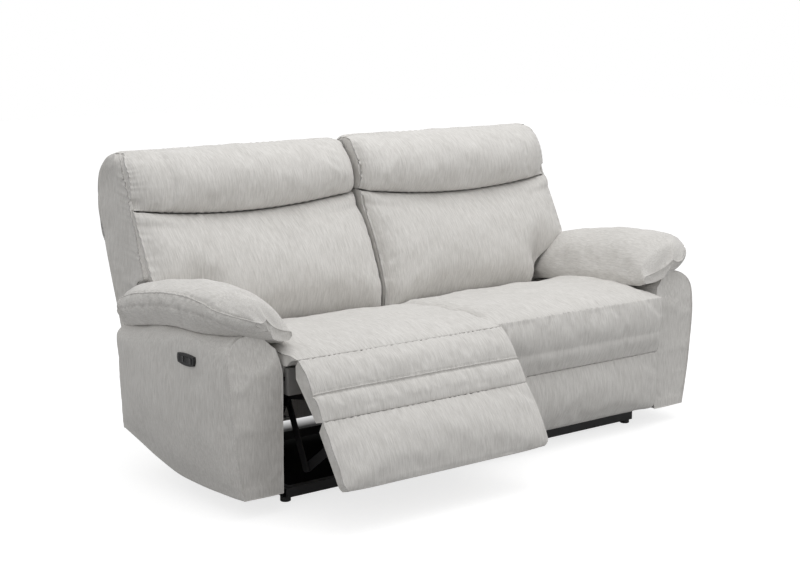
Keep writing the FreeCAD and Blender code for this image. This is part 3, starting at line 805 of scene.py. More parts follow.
class Workshop:
    """Places finished pieces in the frame."""

    def __init__(self, finishes: Finishes) -> None:
        """Find the bench datum from the front base rail."""
        self.finishes = finishes
        self.links = Linkage()
        self.sewing = Sewing(self)
        low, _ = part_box("base_rails")
        self.origin_y = FRONT_RAIL_Y - low.y / MM
        self.count = 0

    def set_down(self, points: np.ndarray, side: Side, way: Way) -> np.ndarray:
        """Places of bench points on one half, in metres of the frame.

        Args:
            points: Bench points.
            side: Half that they belong to.
            way: How the left half stands.

        Returns:
            One row for each point.
        """
        if side is Side.LEFT:
            points = way(points) * np.array([-1, 1, 1])
        return (points - np.array([0, self.origin_y, 0])) * MM

    def link(self, name: str, mesh: bpy.types.Mesh) -> bpy.types.Object:
        """Object for a finished mesh.

        Args:
            name: Name of the piece.
            mesh: Its mesh.

        Returns:
            The object.
        """
        mesh.name = name
        self.count += 1
        return put(name, mesh)

    def upholster(self, part: str, skin: Skin, side: Side, body: str, weave: Weave, way: Way,
                  slot: str, fill: float) -> None:
        """Finish a padded piece and hang it on its body, in place of its solid.

        Args:
            part: Name of the solid without its half.
            skin: Its skin on the bench.
            side: Half that it belongs to.
            body: Body that it moves with.
            weave: Way that the slubs run.
            way: How the left half stands.
            slot: Material slot of the record; not used.
            fill: How tight it is stuffed; not used.
        """
        name = f"{side.word}_{part}_cloth"
        placed = skin if side is Side.RIGHT else skin.reversed()
        placed = placed.moved(self.set_down(placed.points, side, way) / MM)
        mesh = placed.mesh(name)
        mesh.attributes.remove(mesh.attributes["measure"])
        mesh.materials.append(self.finishes.cloth[weave])
        piece = self.link(name, mesh)
        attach(piece, body)
        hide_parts(f"{side.word}_{part}")
        LOG.info("%s: %d cells", name, len(placed.cells))


# Piping and stitches


class Notion(Enum):
    """What is sewn along a seam."""

    PIPING = "piping"
    STITCHES = "stitches"


class NodeSet(NodePlan):
    """Geometry Nodes tree that turns seam lines into what is sewn along them."""

    def __init__(self, name: str, sizes: dict[str, float]) -> None:
        """Start a tree with named inputs.

        Args:
            name: Name of the tree.
            sizes: Input names and their values.
        """
        self.tree = bpy.data.node_groups.new(name, "GeometryNodeTree")
        face = self.tree.interface
        face.new_socket("Seams", in_out="INPUT", socket_type="NodeSocketGeometry")
        self.values = {}
        for key, value in sizes.items():
            socket = face.new_socket(key, in_out="INPUT", socket_type="NodeSocketFloat")
            self.values[socket.identifier] = value
        socket = face.new_socket("Finish", in_out="INPUT", socket_type="NodeSocketMaterial")
        self.finish = socket.identifier
        face.new_socket("Sewn", in_out="OUTPUT", socket_type="NodeSocketGeometry")
        self.given = self.add("NodeGroupInput").outputs
        self.path = self.add("GeometryNodeMeshToCurve", {0: self.given["Seams"]}).outputs[0]

    def close(self, shape: Any) -> None:
        """Realize, smooth and finish the shape, and lead it out.

        Args:
            shape: Socket of the shape.
        """
        real = self.add("GeometryNodeRealizeInstances", {0: shape}).outputs[0]
        smooth = self.add("GeometryNodeSetShadeSmooth", {0: real}).outputs[0]
        inputs = {"Geometry": smooth, "Material": self.given["Finish"]}
        dressed = self.add("GeometryNodeSetMaterial", inputs)
        self.add("NodeGroupOutput", {0: dressed.outputs[0]})

    def sewn(self, name: str, lines: list[np.ndarray],
             finish: bpy.types.Material) -> bpy.types.Mesh:
        """Plain mesh of the tree over seam lines in metres.

        Args:
            name: Name of the mesh.
            lines: Seam lines.
            finish: Material of what is sewn on.

        Returns:
            The mesh.
        """
        mesh = bpy.data.meshes.new(name + "_seams")
        starts = np.cumsum([0] + [len(line) for line in lines])
        edges = [(a + i, a + i + 1) for a, line in zip(starts, lines)
                 for i in range(len(line) - 1)]
        mesh.from_pydata(np.concatenate(lines).tolist(), edges, [])
        piece = put(name + "_seams", mesh)
        sewing = piece.modifiers.new("sewing", "NODES")
        sewing.node_group = self.tree
        for identifier, value in self.values.items():
            sewing[identifier] = value
        sewing[self.finish] = finish
        result = plain_mesh(piece, name)
        piece.modifiers.remove(sewing)
        bpy.data.objects.remove(piece)
        return result


@dataclass
class Sewing:
    """Piping and stitches of the whole sofa, one mesh of each for each body."""

    shop: Workshop
    cord_radius: float = 0.0023
    cord_step: float = 0.004
    cord_sides: int = 8
    stitch_length: float = 0.0056
    stitch_pitch: float = 0.0082
    stitch_range: Pair = (0.88, 1.1)
    thread_radius: float = 0.0006
    seed: int = 7
    lines: dict[tuple[Notion, str], list[np.ndarray]] = field(default_factory=dict)

    def follow(self, notion: Notion, body: str, points: np.ndarray) -> None:
        """Note one seam line of a body, in metres of the frame."""
        self.lines.setdefault((notion, body), []).append(points)

    def piping(self) -> NodeSet:
        """Tree that sweeps a covered cord along each seam.

        Returns:
            The tree.
        """
        nodes = NodeSet("piping", {"Radius": self.cord_radius, "Step": self.cord_step})
        even = nodes.add("GeometryNodeResampleCurve", {
            "Curve": nodes.path, "Length": nodes.given["Step"]}, mode="LENGTH").outputs[0]
        ring = nodes.add("GeometryNodeCurvePrimitiveCircle", {
            "Resolution": self.cord_sides, "Radius": nodes.given["Radius"]}).outputs[0]
        nodes.close(nodes.add("GeometryNodeCurveToMesh", {
            "Curve": even, "Profile Curve": ring, "Fill Caps": True}).outputs[0])
        return nodes

    def stitches(self) -> NodeSet:
        """Tree that lays stitches of uneven length along each seam.

        Returns:
            The tree.
        """
        nodes = NodeSet("stitches", {"Length": self.stitch_length, "Pitch": self.stitch_pitch,
                                     "Thread": self.thread_radius})
        spots = nodes.add("GeometryNodeCurveToPoints", {
            "Curve": nodes.path, "Length": nodes.given["Pitch"]}, mode="LENGTH").outputs
        bead = nodes.add("GeometryNodeMeshUVSphere", {
            "Segments": 6, "Rings": 5, "Radius": 1.0}).outputs[0]
        half = nodes.add("ShaderNodeMath", {0: nodes.given["Length"], 1: 0.5},
                         operation="MULTIPLY").outputs[0]
        least, most = self.stitch_range
        uneven = nodes.add("FunctionNodeRandomValue", {
            2: least, 3: most, "Seed": self.seed}).outputs[1]
        reach = nodes.add("ShaderNodeMath", {0: half, 1: uneven}, operation="MULTIPLY").outputs[0]
        thread = nodes.given["Thread"]
        size = nodes.add("ShaderNodeCombineXYZ", {0: thread, 1: thread, 2: reach}).outputs[0]
        nodes.close(nodes.add("GeometryNodeInstanceOnPoints", {
            "Points": spots["Points"], "Instance": bead, "Rotation": spots["Rotation"],
            "Scale": size}).outputs[0])
        return nodes

    def build(self) -> None:
        """Make one mesh of each notion for each body."""
        cloth = self.shop.finishes.cloth[Weave.ALONG_THE_ARM]
        ways = {Notion.PIPING: (self.piping(), cloth),
                Notion.STITCHES: (self.stitches(), self.shop.finishes.thread)}
        for (notion, body), lines in self.lines.items():
            nodes, finish = ways[notion]
            name = f"{body}_{notion.value}"
            piece = self.shop.link(name, nodes.sewn(name, lines, finish))
            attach(piece, body)
            LOG.info("%s: %d faces", name, len(piece.data.polygons))


# Seat, calf and foot


@dataclass
class SeatHalf:
    """Seat cushion, calf panel and foot panel of one half."""

    shop: Workshop
    inner: float = 4.0
    outer: float = 780.0
    cell: float = 9.0
    calf_stations: tuple = (4, 50, 200, 392, 584, 734, 780)
    calf_bulges: tuple = (3, 11, 16, 17, 16, 11, 3)
    foot_stations: tuple = (4, 60, 220, 392, 564, 724, 780)
    foot_bulges: tuple = (3, 10, 14, 15, 14, 10, 3)
    foot_low: float = 60.0
    corner: float = 30.0
    channel: float = 122.0
    cord_place: float = 121.0
    stitch_place: float = 113.0
    trim_proud: float = 0.2

    def columns(self) -> np.ndarray:
        """Stations across the seat."""
        cells = int((self.outer - self.inner) / self.cell)
        return np.linspace(self.inner, self.outer, cells + 1)

    def edge(self, skin: Skin) -> np.ndarray:
        """Distance of each point from the nearer side edge."""
        x = skin.measures[:, 0]
        return np.minimum(x - self.inner, self.outer - x)

    def cushion(self) -> Skin:
        """Seat cushion: rolled front lip, crowned top, tucked rear.

        Returns:
            The stuffed skin.
        """
        face, rear = [], []
        for x in self.columns():
            drop = seat_drop(x)
            inset = float(smooth_row(x, (4, 40, 110, 674, 744, 780), (7, 3, 1, 1, 3, 7)))
            lift = 11 * fade(x, 640, 780)
            line = trace((-26.4 + inset, 468.5),
                         (10, (2 + inset, 486 - 0.6 * drop), (62, 491 - drop)),
                         (48, (240, 491 - drop + lift), (500, 462 - drop + lift)),
                         (8, (538, 449 - drop), (572, 424 - 0.8 * drop)), (3, (612, 404)))
            under_y = 6 + (line[:, 0] + 26.4) * (606 / 638.4)
            under_z = np.interp(under_y, (6, 34, 64, 70, 612), (468.5, 440, 440, 398, 398))
            face.append(at_x(x, line))
            rear.append(at_x(x, np.column_stack([under_y, under_z])))
        skin = Skin.over(face, rear, 6, self.columns())
        _, along, through = skin.measures.T
        held = np.maximum(fade(through, 0.05, 0.3), 1 - fade(along, 0, 60))
        held = np.maximum(held, fade(along, 520, 560))
        skin = Filling(limit=18).plumped(skin, held, 5.0, fade(self.edge(skin), 0, 160))
        _, along, through = skin.measures.T
        free = (1 - fade(through, 0.0, 0.2)) * fade(along, 4, 50)
        skin = skin.pushed(free * 1.6 * ripple(skin.points, 120, 3))
        puckers = ripple(skin.measures[:, :1], 17, 5) * np.exp(-along / 16)
        return skin.pushed(0.9 * puckers * (1 - fade(through, 0, 0.3)))

    def calf(self, ridge: float) -> Skin:
        """Calf panel of two padded bands.

        Args:
            ridge: How far the channel between the bands is drawn in.

        Returns:
            The stuffed skin.
        """
        face, rear = [], []
        for x in self.columns():
            bulge = float(smooth_row(x, self.calf_stations, self.calf_bulges))
            line = trace((-27.0, 472.0), (15, (-29.5 - bulge, 412), (-21.5 - 0.5 * bulge, 352)),
                         (10, (-19 - 0.85 * bulge, 312), (-11.0, 271.0)))
            back = resample(np.array([(-3, 466), (22, 438), (22, 287.5)]), len(line) - 1)
            face.append(at_x(x, line))
            rear.append(at_x(x, back))
        skin = Skin.over(face, rear, 5, self.columns())
        _, along, through = skin.measures.T
        ends = np.minimum(fade(along, 0, 12), 1 - fade(along, 190, 202))
        held = np.maximum(fade(through, 0.1, 0.5), 1 - ends)
        sewn = min(1.0, ridge / 3)
        held = np.maximum(held, 0.9 * np.exp(-((along - self.channel) / 7) ** 2) * sewn)
        filling = Filling(limit=14, slack=0.02)
        skin = filling.plumped(skin, held, 4.0, fade(self.edge(skin), 0, 90))
        _, along, through = skin.measures.T
        front = 1 - fade(through, 0, 0.25)
        near = np.exp(-np.abs(along - self.channel) / 14) * sewn
        heights = -ridge * np.exp(-((along - 128) / 5) ** 2) * front
        heights += ripple(skin.measures[:, :1], 19, 8) * (near + np.exp(-along / 14)) * front * 0.9
        heights += ripple(skin.points, 90, 12) * 0.9 * front * ends_of(along, 198)
        return skin.pushed(heights)

    def foot(self) -> Skin:
        """Foot panel with rounded lower corners.

        Returns:
            The stuffed skin.
        """
        face, rear = [], []
        for x in self.columns():
            bulge = float(smooth_row(x, self.foot_stations, self.foot_bulges))
            draw = float(smooth_row(x, (4, 60, 220, 564, 724, 780), (4, 1, 0, 0, 1, 4)))
            line = trace((-10.6, 273.5), (24, (-13 - bulge, 172), (-11 + draw, 76 + draw)),
                         (4, (-6 + draw, 64 + draw), (6, self.foot_low + draw)))
            back = resample(np.array([(24, 254), (24, 66 + draw)]), len(line) - 1)
            face.append(at_x(x, line))
            rear.append(at_x(x, back))
        face, rear = np.array(face), np.array(rear)
        for grid in (face, rear):
            low = np.clip((self.foot_low + self.corner - grid[..., 2]) / self.corner, 0, 1)
            pull = self.corner * (1 - np.sqrt(1 - low**2 * 0.98))
            middle = 0.5 * (self.inner + self.outer)
            share = (grid[..., 0] - middle) / (self.outer - middle)
            grid[..., 0] -= pull * share ** 15
        skin = Skin.over(face, rear, 5, self.columns())
        _, along, through = skin.measures.T
        held = np.maximum(fade(through, 0.1, 0.5), 1 - fade(along, 0, 12))
        skin = Filling(limit=14).plumped(skin, held, 4.0, fade(self.edge(skin), 0, 90))
        _, along, through = skin.measures.T
        front = 1 - fade(through, 0, 0.25)
        heights = ripple(skin.points, 100, 21) * 1.1 * front * fade(along, 4, 60)
        heights += ripple(skin.measures[:, :1], 21, 22) * np.exp(-along / 16) * front * 0.8
        return skin.pushed(heights)

    def build(self) -> None:
        """Make the three pieces of both halves."""
        links = self.shop.links
        cushion, foot = self.cushion(), self.foot()
        for side in Side:
            ridge = 4.0 if side is Side.LEFT else 0.6
            rows = (("seat_cushion", cushion, "seat", links.seat, 0.75),
                    ("calf_pad", self.calf(ridge), "calf", links.calf, 0.7),
                    ("foot_pad", foot, "foot", links.foot, 0.7))
            for part, skin, body, way, fill in rows:
                self.shop.upholster(part, skin, side, f"{side.word}_{body}", Weave.UP_THE_SEAT,
                                    way, "upholstery", fill)
                if part == "calf_pad" and side is Side.LEFT:
                    self.trim_channel(skin, side, way)

    def trim_channel(self, skin: Skin, side: Side, way: Way) -> None:
        """Sew piping along the channel of an open calf panel, with stitches beside it.

        Args:
            skin: Skin of the calf panel.
            side: Half that it belongs to.
            way: How the left half stands.
        """
        _, along, through = skin.measures.T
        rows = np.unique(np.round(along[through < 0.001], 2))
        for notion, place in ((Notion.PIPING, self.cord_place),
                              (Notion.STITCHES, self.stitch_place)):
            row = rows[np.argmin(np.abs(rows - place))]
            chosen = (np.abs(along - row) < 0.02) & (through < 0.001)
            line = self.shop.set_down(skin.seam(chosen, 0, self.trim_proud), side, way)
            self.shop.sewing.follow(notion, f"{side.word}_calf", line)


# Back


@dataclass
class BackHalf:
    """Lumbar cushion, head cushion and padded shell of one back."""

    shop: Workshop
    inner: float = 4.0
    cushion_out: float = 877.0
    shell_out: float = 894.0
    lumbar_low_out: float = 724.0
    groove_z: float = 836.0
    groove_drop: float = 36.0
    groove_out: float = 890.0
    groove_reach: Pair = (600.0, 1010.0)
    shoulder_z: tuple = (842, 981, 1004, 1019)
    shoulder_draw: tuple = (0, 7, 15, 30)
    lumbar_bulges: tuple = (-12, 0, 6, 10, 11, 9, 2, -17, -50)
    head_bulges: tuple = (-12, 0, 6, 10, 11, 9, 1, -24, -60)
    rim_z: tuple = (300, 606, 616, 680, 756, 842, 925, 981, 1004, 1018)
    rim_y: tuple = (656, 656, 606, 632, 664, 698, 726, 752, 772, 804)
    beside_pad: float = 66.0
    inner_round: float = 34.0
    round_to: float = 60.0
    cell: float = 9.0

    def shares(self) -> np.ndarray:
        """Shares across the back."""
        return np.linspace(0, 1, int((self.cushion_out - self.inner) / self.cell) + 1)

    def columns(self) -> np.ndarray:
        """Stations across the top of the back."""
        return self.inner + self.shares() * (self.cushion_out - self.inner)

    def smile(self, grid: np.ndarray) -> np.ndarray:
        """Draw the groove between the cushions down in the middle.

        Args:
            grid: Points of a cushion.

        Returns:
            The moved points.
        """
        x, z = grid[..., 0], grid[..., 2]
        share = np.clip((x - self.inner) / (self.groove_out - self.inner), 0, 1)
        depth = self.groove_drop * np.sin(math.pi * share) ** 0.8
        low, high = self.groove_reach
        reach = np.where(z < self.groove_z, fade(z, low, self.groove_z),
                         1 - fade(z, self.groove_z, high))
        grid = grid.copy()
        grid[..., 2] -= depth * reach
        grid[..., 1] -= depth * reach * 0.2
        return grid

    def shouldered(self, grid: np.ndarray) -> np.ndarray:
        """Draw the outer end in towards the top, so that the corner is round.

        Args:
            grid: Points of a cushion or of the shell.

        Returns:
            The moved points.
        """
        grid = grid.copy()
        draw = np.interp(grid[..., 2], self.shoulder_z, self.shoulder_draw)
        grid[..., 0] -= draw * fade(grid[..., 0], 680, self.shell_out)
        return grid

    def rounding(self, x: float) -> float:
        """How far a cushion's face falls back beside the middle of the sofa."""
        share = min(max((self.round_to - x) / (self.round_to - self.inner), 0.0), 1.0)
        return self.inner_round * (1 - math.sqrt(1 - 0.96 * share ** 2)) / 0.8

    def lumbar(self) -> Skin:
        """Lower back cushion, narrow between the arm pads and wide above them.

        Returns:
            The stuffed skin.
        """
        rows = np.linspace(0, 1, 47)
        wide = fade(438 + 396 * rows, 500, 622) ** 1.8
        out = self.lumbar_low_out + (self.cushion_out - self.lumbar_low_out) * wide
        low = 440 + 392 * rows
        depth = support_y(low) - 1 - 16 * fade(580 - low, 0, 60)
        face, rear = [], []
        for share in self.shares():
            x = self.inner + share * (out - self.inner)
            face.append(self.lumbar_rows(x))
            rear.append(np.column_stack([x, depth, low]))
        skin = Skin.over(self.smile(np.array(face)), self.smile(np.array(rear)), 9, self.columns())
        return self.finished(skin, 31)

    def lumbar_rows(self, x: np.ndarray) -> np.ndarray:
        """Face points of the lumbar cushion, one for each row, at the x of that row.

        Args:
            x: Place of each row across the sofa.

        Returns:
            One row for each point.
        """
        bulge = smooth_row(x, BACK_STATIONS, self.lumbar_bulges)
        rows = []
        for j, (place, b) in enumerate(zip(x, bulge)):
            fall = seat_drop(place)
            end = -min(b, 0.0)
            line = trace((566, 436 - fall), (5, (534, 446 - fall), (520 - 0.2 * b, 466)),
                         (8, (513 - 0.4 * b, 500), (521 - 0.7 * b, 540)),
                         (26, (563 - b, 658), (640 - 0.6 * b + 0.2 * end, 790)),
                         (7, (650 - 0.2 * b + 0.6 * end, 822), (692 + 0.1 * end, 834)))
            y, z = line[j]
            z -= 8 * (1 - fade(z, 440, 500))
            beside = fade(place, 640, self.lumbar_low_out) ** 1.7
            y += self.beside_pad * beside * (1 - fade(z, 500, 640))
            y += self.rounding(place)
            rows.append((place, y, z))
        return np.array(rows)

    def head(self) -> Skin:
        """Head cushion, rolled over the top edge.

        Returns:
            The stuffed skin.
        """
        face, rear = [], []
        for x in self.columns():
            b = float(smooth_row(x, BACK_STATIONS, self.head_bulges))
            low = float(smooth_row(x, (4, 44, 130, 300, 600, 740, 836, 893),
                                   (12, 6, 1, 0, 0, 1, 5, 13)))
            line = trace((692, 838), (6, (661 - b, 848), (652 - b, 875)),
                         (18, (664 - b, 948 - low), (722 - 0.5 * b, 1000 - low)),
                         (10, (764, 1020 - low), (804, 1023 - low)))
            line[:, 0] += self.rounding(x) * (1 - fade(line[:, 1], 960, 1020))
            back = resample(np.array([(support_y(842) - 1, 842), (796, 962)]), len(line) - 1)
            face.append(at_x(x, line))
            rear.append(at_x(x, back))
        face, rear = (self.shouldered(self.smile(np.array(grid))) for grid in (face, rear))
        return self.finished(Skin.over(face, rear, 7, self.columns()), 41)

    def finished(self, skin: Skin, seed: int) -> Skin:
        """Stuff a back cushion and add its puckers.

        Args:
            skin: Drawn skin.
            seed: Which pucker pattern.

        Returns:
            The finished skin.
        """
        x, along, through = skin.measures.T
        length = along.max()
        edge = np.minimum(x - self.inner, self.cushion_out - x)
        held = np.maximum(fade(through, 0.1, 0.4), 1 - ends_of(along, length))
        held = np.maximum(held, 0.92 * np.exp(-(edge / 10) ** 2))
        skin = Filling(slack=0.014).plumped(skin, held, 6.0, fade(edge, 0, 140))
        x, along, through = skin.measures.T
        front = 1 - fade(through, 0, 0.25)
        heights = ripple(skin.points, 130, seed) * 1.2 * front * ends_of(along, length)
        rows = skin.measures[:, 1:2]
        side = ripple(rows, 24, seed + 1) * np.exp(-(self.cushion_out - x) / 22)
        side += 0.3 * ripple(rows, 30, seed + 4) * np.exp(-(x - self.inner) / 30)
        top = ripple(skin.measures[:, :1], 26, seed + 2)
        near = np.exp(-along / 20) + np.exp(-np.maximum(along.max() - along, 0) / 20)
        return skin.pushed(heights + front * (0.7 * side + 0.8 * top * near))

    def shell(self) -> Skin:
        """Padded rear, top and side gusset, with a rim round the cushion ends.

        Returns:
            The stuffed skin.
        """
        gusset = [863, 869, 876, 884, self.shell_out]
        first = np.concatenate([np.linspace(self.inner, 858, 73), gusset])
        face, rear = [], []
        front = resample(trace((656, 285), (12, (656, 578)), (4, (support_y(628), 628)),
                               (9, (support_y(838), 838)), (6, (796, 960)), (4, (804, 1018))), 60)
        behind = resample(trace((746, 285), (20, (876, 730)), (12, (903, 820), (906, 878)),
                                (10, (899, 945), (868, 990)), (8, (846, 1012), (812, 1021))), 60)
        (front_y, front_z), (behind_y, behind_z) = front.T, behind.T
        for x in first:
            inset = 9 * (1 - fade(x, 4, 20)) + 5 * fade(x, 866, self.shell_out) ** 2
            rim = fade(x, 862, 870)
            edge = np.interp(front_z, self.rim_z, self.rim_y) + 8 * fade(x, 878, self.shell_out)
            y = front_y * (1 - rim) + np.minimum(edge, front_y) * rim
            z = front_z - 0.5 * inset * fade(front_z, 900, 1018)
            far_z = behind_z - inset * 0.8 * fade(behind_z, 900, 1020)
            face.append(at_x(x, np.column_stack([y, z])))
            rear.append(at_x(x, np.column_stack([behind_y - inset, far_z])))
        face, rear = self.shouldered(np.array(face)), self.shouldered(np.array(rear))

        def flare(i: np.ndarray, j: np.ndarray, share: np.ndarray) -> np.ndarray:
            """Draw the rim in from the widest line of the side gusset.

            Args:
                i: Column of each point.
                j: Row of each point.
                share: Share from the face to the rear.

            Returns:
                The offset of each point.
            """
            outer = fade(first[i], 866, self.shell_out) * (1 - fade(share, 0, 0.4))
            draw = 4 + 9 * fade(face[i, j, 2], 600, 780)
            return np.column_stack([-draw * outer, 0 * share, 0 * share])

        skin = Skin.over(face, rear, 14, first, flare)
        x, along, through = skin.measures.T
        held = np.maximum(1 - fade(through, 0.03, 0.2), 1 - ends_of(along, 770))
        held = np.maximum(held, np.exp(-((x - self.shell_out) / 8) ** 2) * (through > 0.9))
        skin = Filling(limit=12, pressure=3.0).stuffed(skin, held).smoothed()
        x, along, through = skin.measures.T
        beside = fade(x, 886, self.shell_out)
        gathers = ripple(skin.measures[:, 1:2], 21, 51) * np.exp(-through / 0.22) * beside
        gathers *= 0.4 + 0.6 * fade(skin.points[:, 2], 640, 700)
        plain = ripple(skin.points, 150, 52) * 1.6 * np.maximum(fade(through, 0.5, 1.0), beside)
        return skin.pushed(1.7 * gathers + plain)

    def build(self) -> None:
        """Make the three pieces of both halves."""
        way = self.shop.links.leaned
        rows = (("back_cushion", self.lumbar(), Weave.UP_THE_SEAT, "upholstery", 0.8),
                ("head_cushion", self.head(), Weave.UP_THE_SEAT, "upholstery", 0.8),
                ("back_cover", self.shell(), Weave.DOWN_THE_SIDE, "upholstery_panels", 0.6))
        for side in Side:
            for part, skin, weave, slot, fill in rows:
                self.shop.upholster(part, skin, side, f"{side.word}_back", weave, way, slot, fill)


# Arms


@dataclass
class Arm:
    """Padded arm body and the pad on top of it."""

    shop: Workshop
    arm_in: float = 786.0
    depth: float = 648.0
    cell: float = 9.0
    stations: tuple = (0, 70, 190, 320, 450, 560, 648)
    tops: tuple = (546, 544, 541, 536, 521, 501, 482)
    bulges: tuple = (6, 24, 41, 46, 45, 39, 30)
    hem_x: tuple = (928, 938, 948, 956, 963, 969, 974)
    hem_z: tuple = (58, 57, 60, 66, 88, 121, 146)
    rounds: tuple = (44, 24, 0, 0, 0, 0, 0)
    control: Pair = (191.0, 459.5)
    control_hold: Pair = (50.0, 110.0)
    pad_knots: tuple = (-20, 14, 54, 110, 200, 320, 430, 540, 638)
    crests: tuple = (596, 640, 662, 671, 671, 663, 649, 630, 604)
    hangs: tuple = (512, 508, 500, 495, 492, 484, 472, 459, 447)
    seams: tuple = (590, 608, 622, 637, 645, 638, 622, 602, 573)
    unders: tuple = (554, 549, 543, 541, 540, 535, 520, 500, 480)
    outs: tuple = (884, 938, 973, 986, 990, 990, 990, 987, 978)
    pad_out: float = 990.0
    pad_front: float = -20.0

    def body(self) -> Skin:
        """Arm below the pad: front panel, outer side, inner side, rounded top.

        Returns:
            The stuffed skin.
        """
        first = np.linspace(0, self.depth, int(self.depth / self.cell) + 1)
        face, rear, tops = [], [], []
        for y in first:
            rows = (self.tops, self.bulges, self.hem_x, self.hem_z)
            top, bulge, hem_x, bottom = (float(smooth_row(y, self.stations, row)) for row in rows)
            turn = float(np.interp(y, self.stations, self.rounds))
            line = trace((905 - 0.55 * turn, top), (4, (950 - 0.9 * turn, top - 2 - 0.1 * turn)),
                         (6, (973 - 0.55 * turn, top - 6 - 0.35 * turn),
                          (980 + 0.25 * (bulge - turn), top - 22 - turn)),
                         (42, (958 + bulge, 0.5 * (top + bottom) + 20), (hem_x, bottom)))
            back = resample(np.array([(self.arm_in + 17, top - 50), (self.arm_in, top - 120),
                                      (self.arm_in + 3, bottom)]), len(line) - 1)
            face.append(at_y(y, line))
            rear.append(at_y(y, back))
            tops.append(top)
        face, rear, tops = np.array(face), np.array(rear), np.array(tops)

        def bridge(i: np.ndarray, j: np.ndarray, share: np.ndarray) -> np.ndarray:
            """Crown of the top between the outer and the inner edge.

            Args:
                i: Column of each point.
                j: Row of each point.
                share: Share from the face to the rear.

            Returns:
                The offset of each point.
            """
            crown = 50 * share - 50 * fade(share, 0.25, 1.15) / fade(1.0, 0.25, 1.15)
            down = (1 - np.clip((tops[i] - face[i, j, 2]) / 260, 0, 1)) ** 2
            return np.column_stack([np.zeros(len(i)), np.zeros(len(i)), crown * down])

        skin = Skin.over(face, rear, 18, first, bridge)
        high = np.clip((skin.points[:, 2] - 372) / 188, 0, 1)
        brow = 46 * (1 - np.sqrt(1 - (0.94 * high) ** 2)) / 0.659
        near = skin.points[:, 1] < 120
        skin.points[near, 1] += (brow * (1 - skin.points[:, 1] / 120))[near]
        y, along, through = skin.measures.T
        rim = 1 - fade(y, 0, 14)
        corner = rim * np.maximum(np.exp(-(through / 0.05) ** 2),
                                  np.exp(-((through - 1) / 0.05) ** 2))
        held = np.maximum.reduce([corner, fade(along, 500, 516), 0.9 * (through > 0.97),
                                  1 - fade(along, 0, 14)])
        away = np.hypot(skin.points[:, 1] - self.control[0], skin.points[:, 2] - self.control[1])
        held = np.maximum(held, (1 - fade(away, *self.control_hold)) * (through < 0.01))
        skin = Filling(limit=7, pressure=2.5, slack=0.008).stuffed(skin, held).smoothed()
        y, along, through = skin.measures.T
        outer = 1 - fade(through, 0.0, 0.15)
        front = 1 - fade(y, 0, 10)
        heights = 1.5 * ripple(skin.points, 160, 61) * np.maximum(outer * fade(y, 5, 60), front)
        dart = np.exp(-along / 40) * np.exp(-y / 60) * outer
        heights += 2.0 * dart * ripple(skin.measures[:, :2], 26, 63)
        heights -= 2.2 * np.exp(-(y / 6) ** 2) * np.exp(-(through / 0.03) ** 2)
        return skin.pushed(heights)

    def pad(self) -> Skin:
        """Arm pad: crowned top panel, front cap, and two bands on the outer side.

        Returns:
            The stuffed skin.
        """
        first = np.concatenate([[self.pad_front, -15, -9, -2], np.linspace(6, 638, 70)])
        face, rear = [], []
        for y in first:
            rows = (self.crests, self.hangs, self.seams, self.unders, self.outs)
            crest, hang, seam, under, out = (float(smooth_row(y, self.pad_knots, row))
                                             for row in rows)
            inset = self.pad_out - out
            tuck = 36 * (1 - fade(y, 40, 190))
            slope = 1 - fade(y, self.pad_front, 40)
            line = trace((752, hang), (6, (740, hang + 18), (744, hang + 0.32 * (crest - hang))),
                         (20, (791, crest - 50 + 8 * slope), (880 - 0.3 * inset, crest)),
                         (13, (out - 34, crest - 0.35 * (crest - seam)), (out, seam)))
            back = resample(np.array([(788, hang + 4), (850 - 0.3 * inset, under - 24),
                                      (out - 16 - tuck, under)]), len(line) - 1)
            nose = 42 * (1 - fade(y, self.pad_front, 60))
            for grid, drawn in ((face, line), (rear, back)):
                grid.append(at_y(y + nose * (1 - fade(drawn[:, 0], 748, 890)), drawn))

        def bridge(i: np.ndarray, j: np.ndarray, share: np.ndarray) -> np.ndarray:
            """Outward swell of the side band.

            Args:
                i: Column of each point.
                j: Row of each point.
                share: Share from the face to the rear.

            Returns:
                The offset of each point.
            """
            outer = np.clip((j - 30) / 9, 0, 1) ** 2
            swell = 60 * share * (1 - share) * (1.45 - 0.9 * share)
            return np.column_stack([swell * outer, np.zeros(len(i)), np.zeros(len(i))])

        skin = Skin.over(face, rear, 12, first, bridge)
        y, along, through = skin.measures.T
        across = along.max()
        hem = 0.8 * np.exp(-(through / 0.04) ** 2)
        held = np.maximum.reduce([fade(through, 0.85, 1.0), 1 - fade(along, 0, 10),
                                  hem * (along > across - 6), hem * (y < -17)])
        share = (through < 0.01) * fade(y, self.pad_front, 90)
        skin = Filling(limit=12, slack=0.02).plumped(skin, held, 4.0, share)
        y, along, through = skin.measures.T
        band = fade(along, across - 4, across)
        lower = 0.39 + 0.61 * (1 - fade(y, -12, 70))
        middle_band = band * (through < lower)
        lower_band = band * (through >= lower)
        pleats = ripple(np.column_stack([y, 40 * through]), 17, 71)
        tucks = ripple(np.column_stack([y + 60 * through, 20 * through]), 22, 73)
        heights = 1.0 * pleats * middle_band * fade(y, 0, 40)
        heights += 2.2 * tucks * lower_band * fade(y, 20, 90) * np.exp(-(through - lower) / 0.45)
        heights -= 3.0 * np.exp(-((through - lower) / 0.05) ** 2) * band
        top = 1 - fade(through, 0, 0.1)
        near = np.exp(-(across - along) / 26) * fade(y, self.pad_front, 20)
        near += np.exp(-(y - self.pad_front) / 26)
        short = ripple(skin.measures[:, :2], 20, 75) * (1 - fade(y, 200, 330) * 0.6)
        heights += 1.1 * short * near * top * fade(y, self.pad_front, 30)
        heights += 1.7 * ripple(skin.points, 130, 77) * top * ends_of(along, across)
        return skin.pushed(heights)

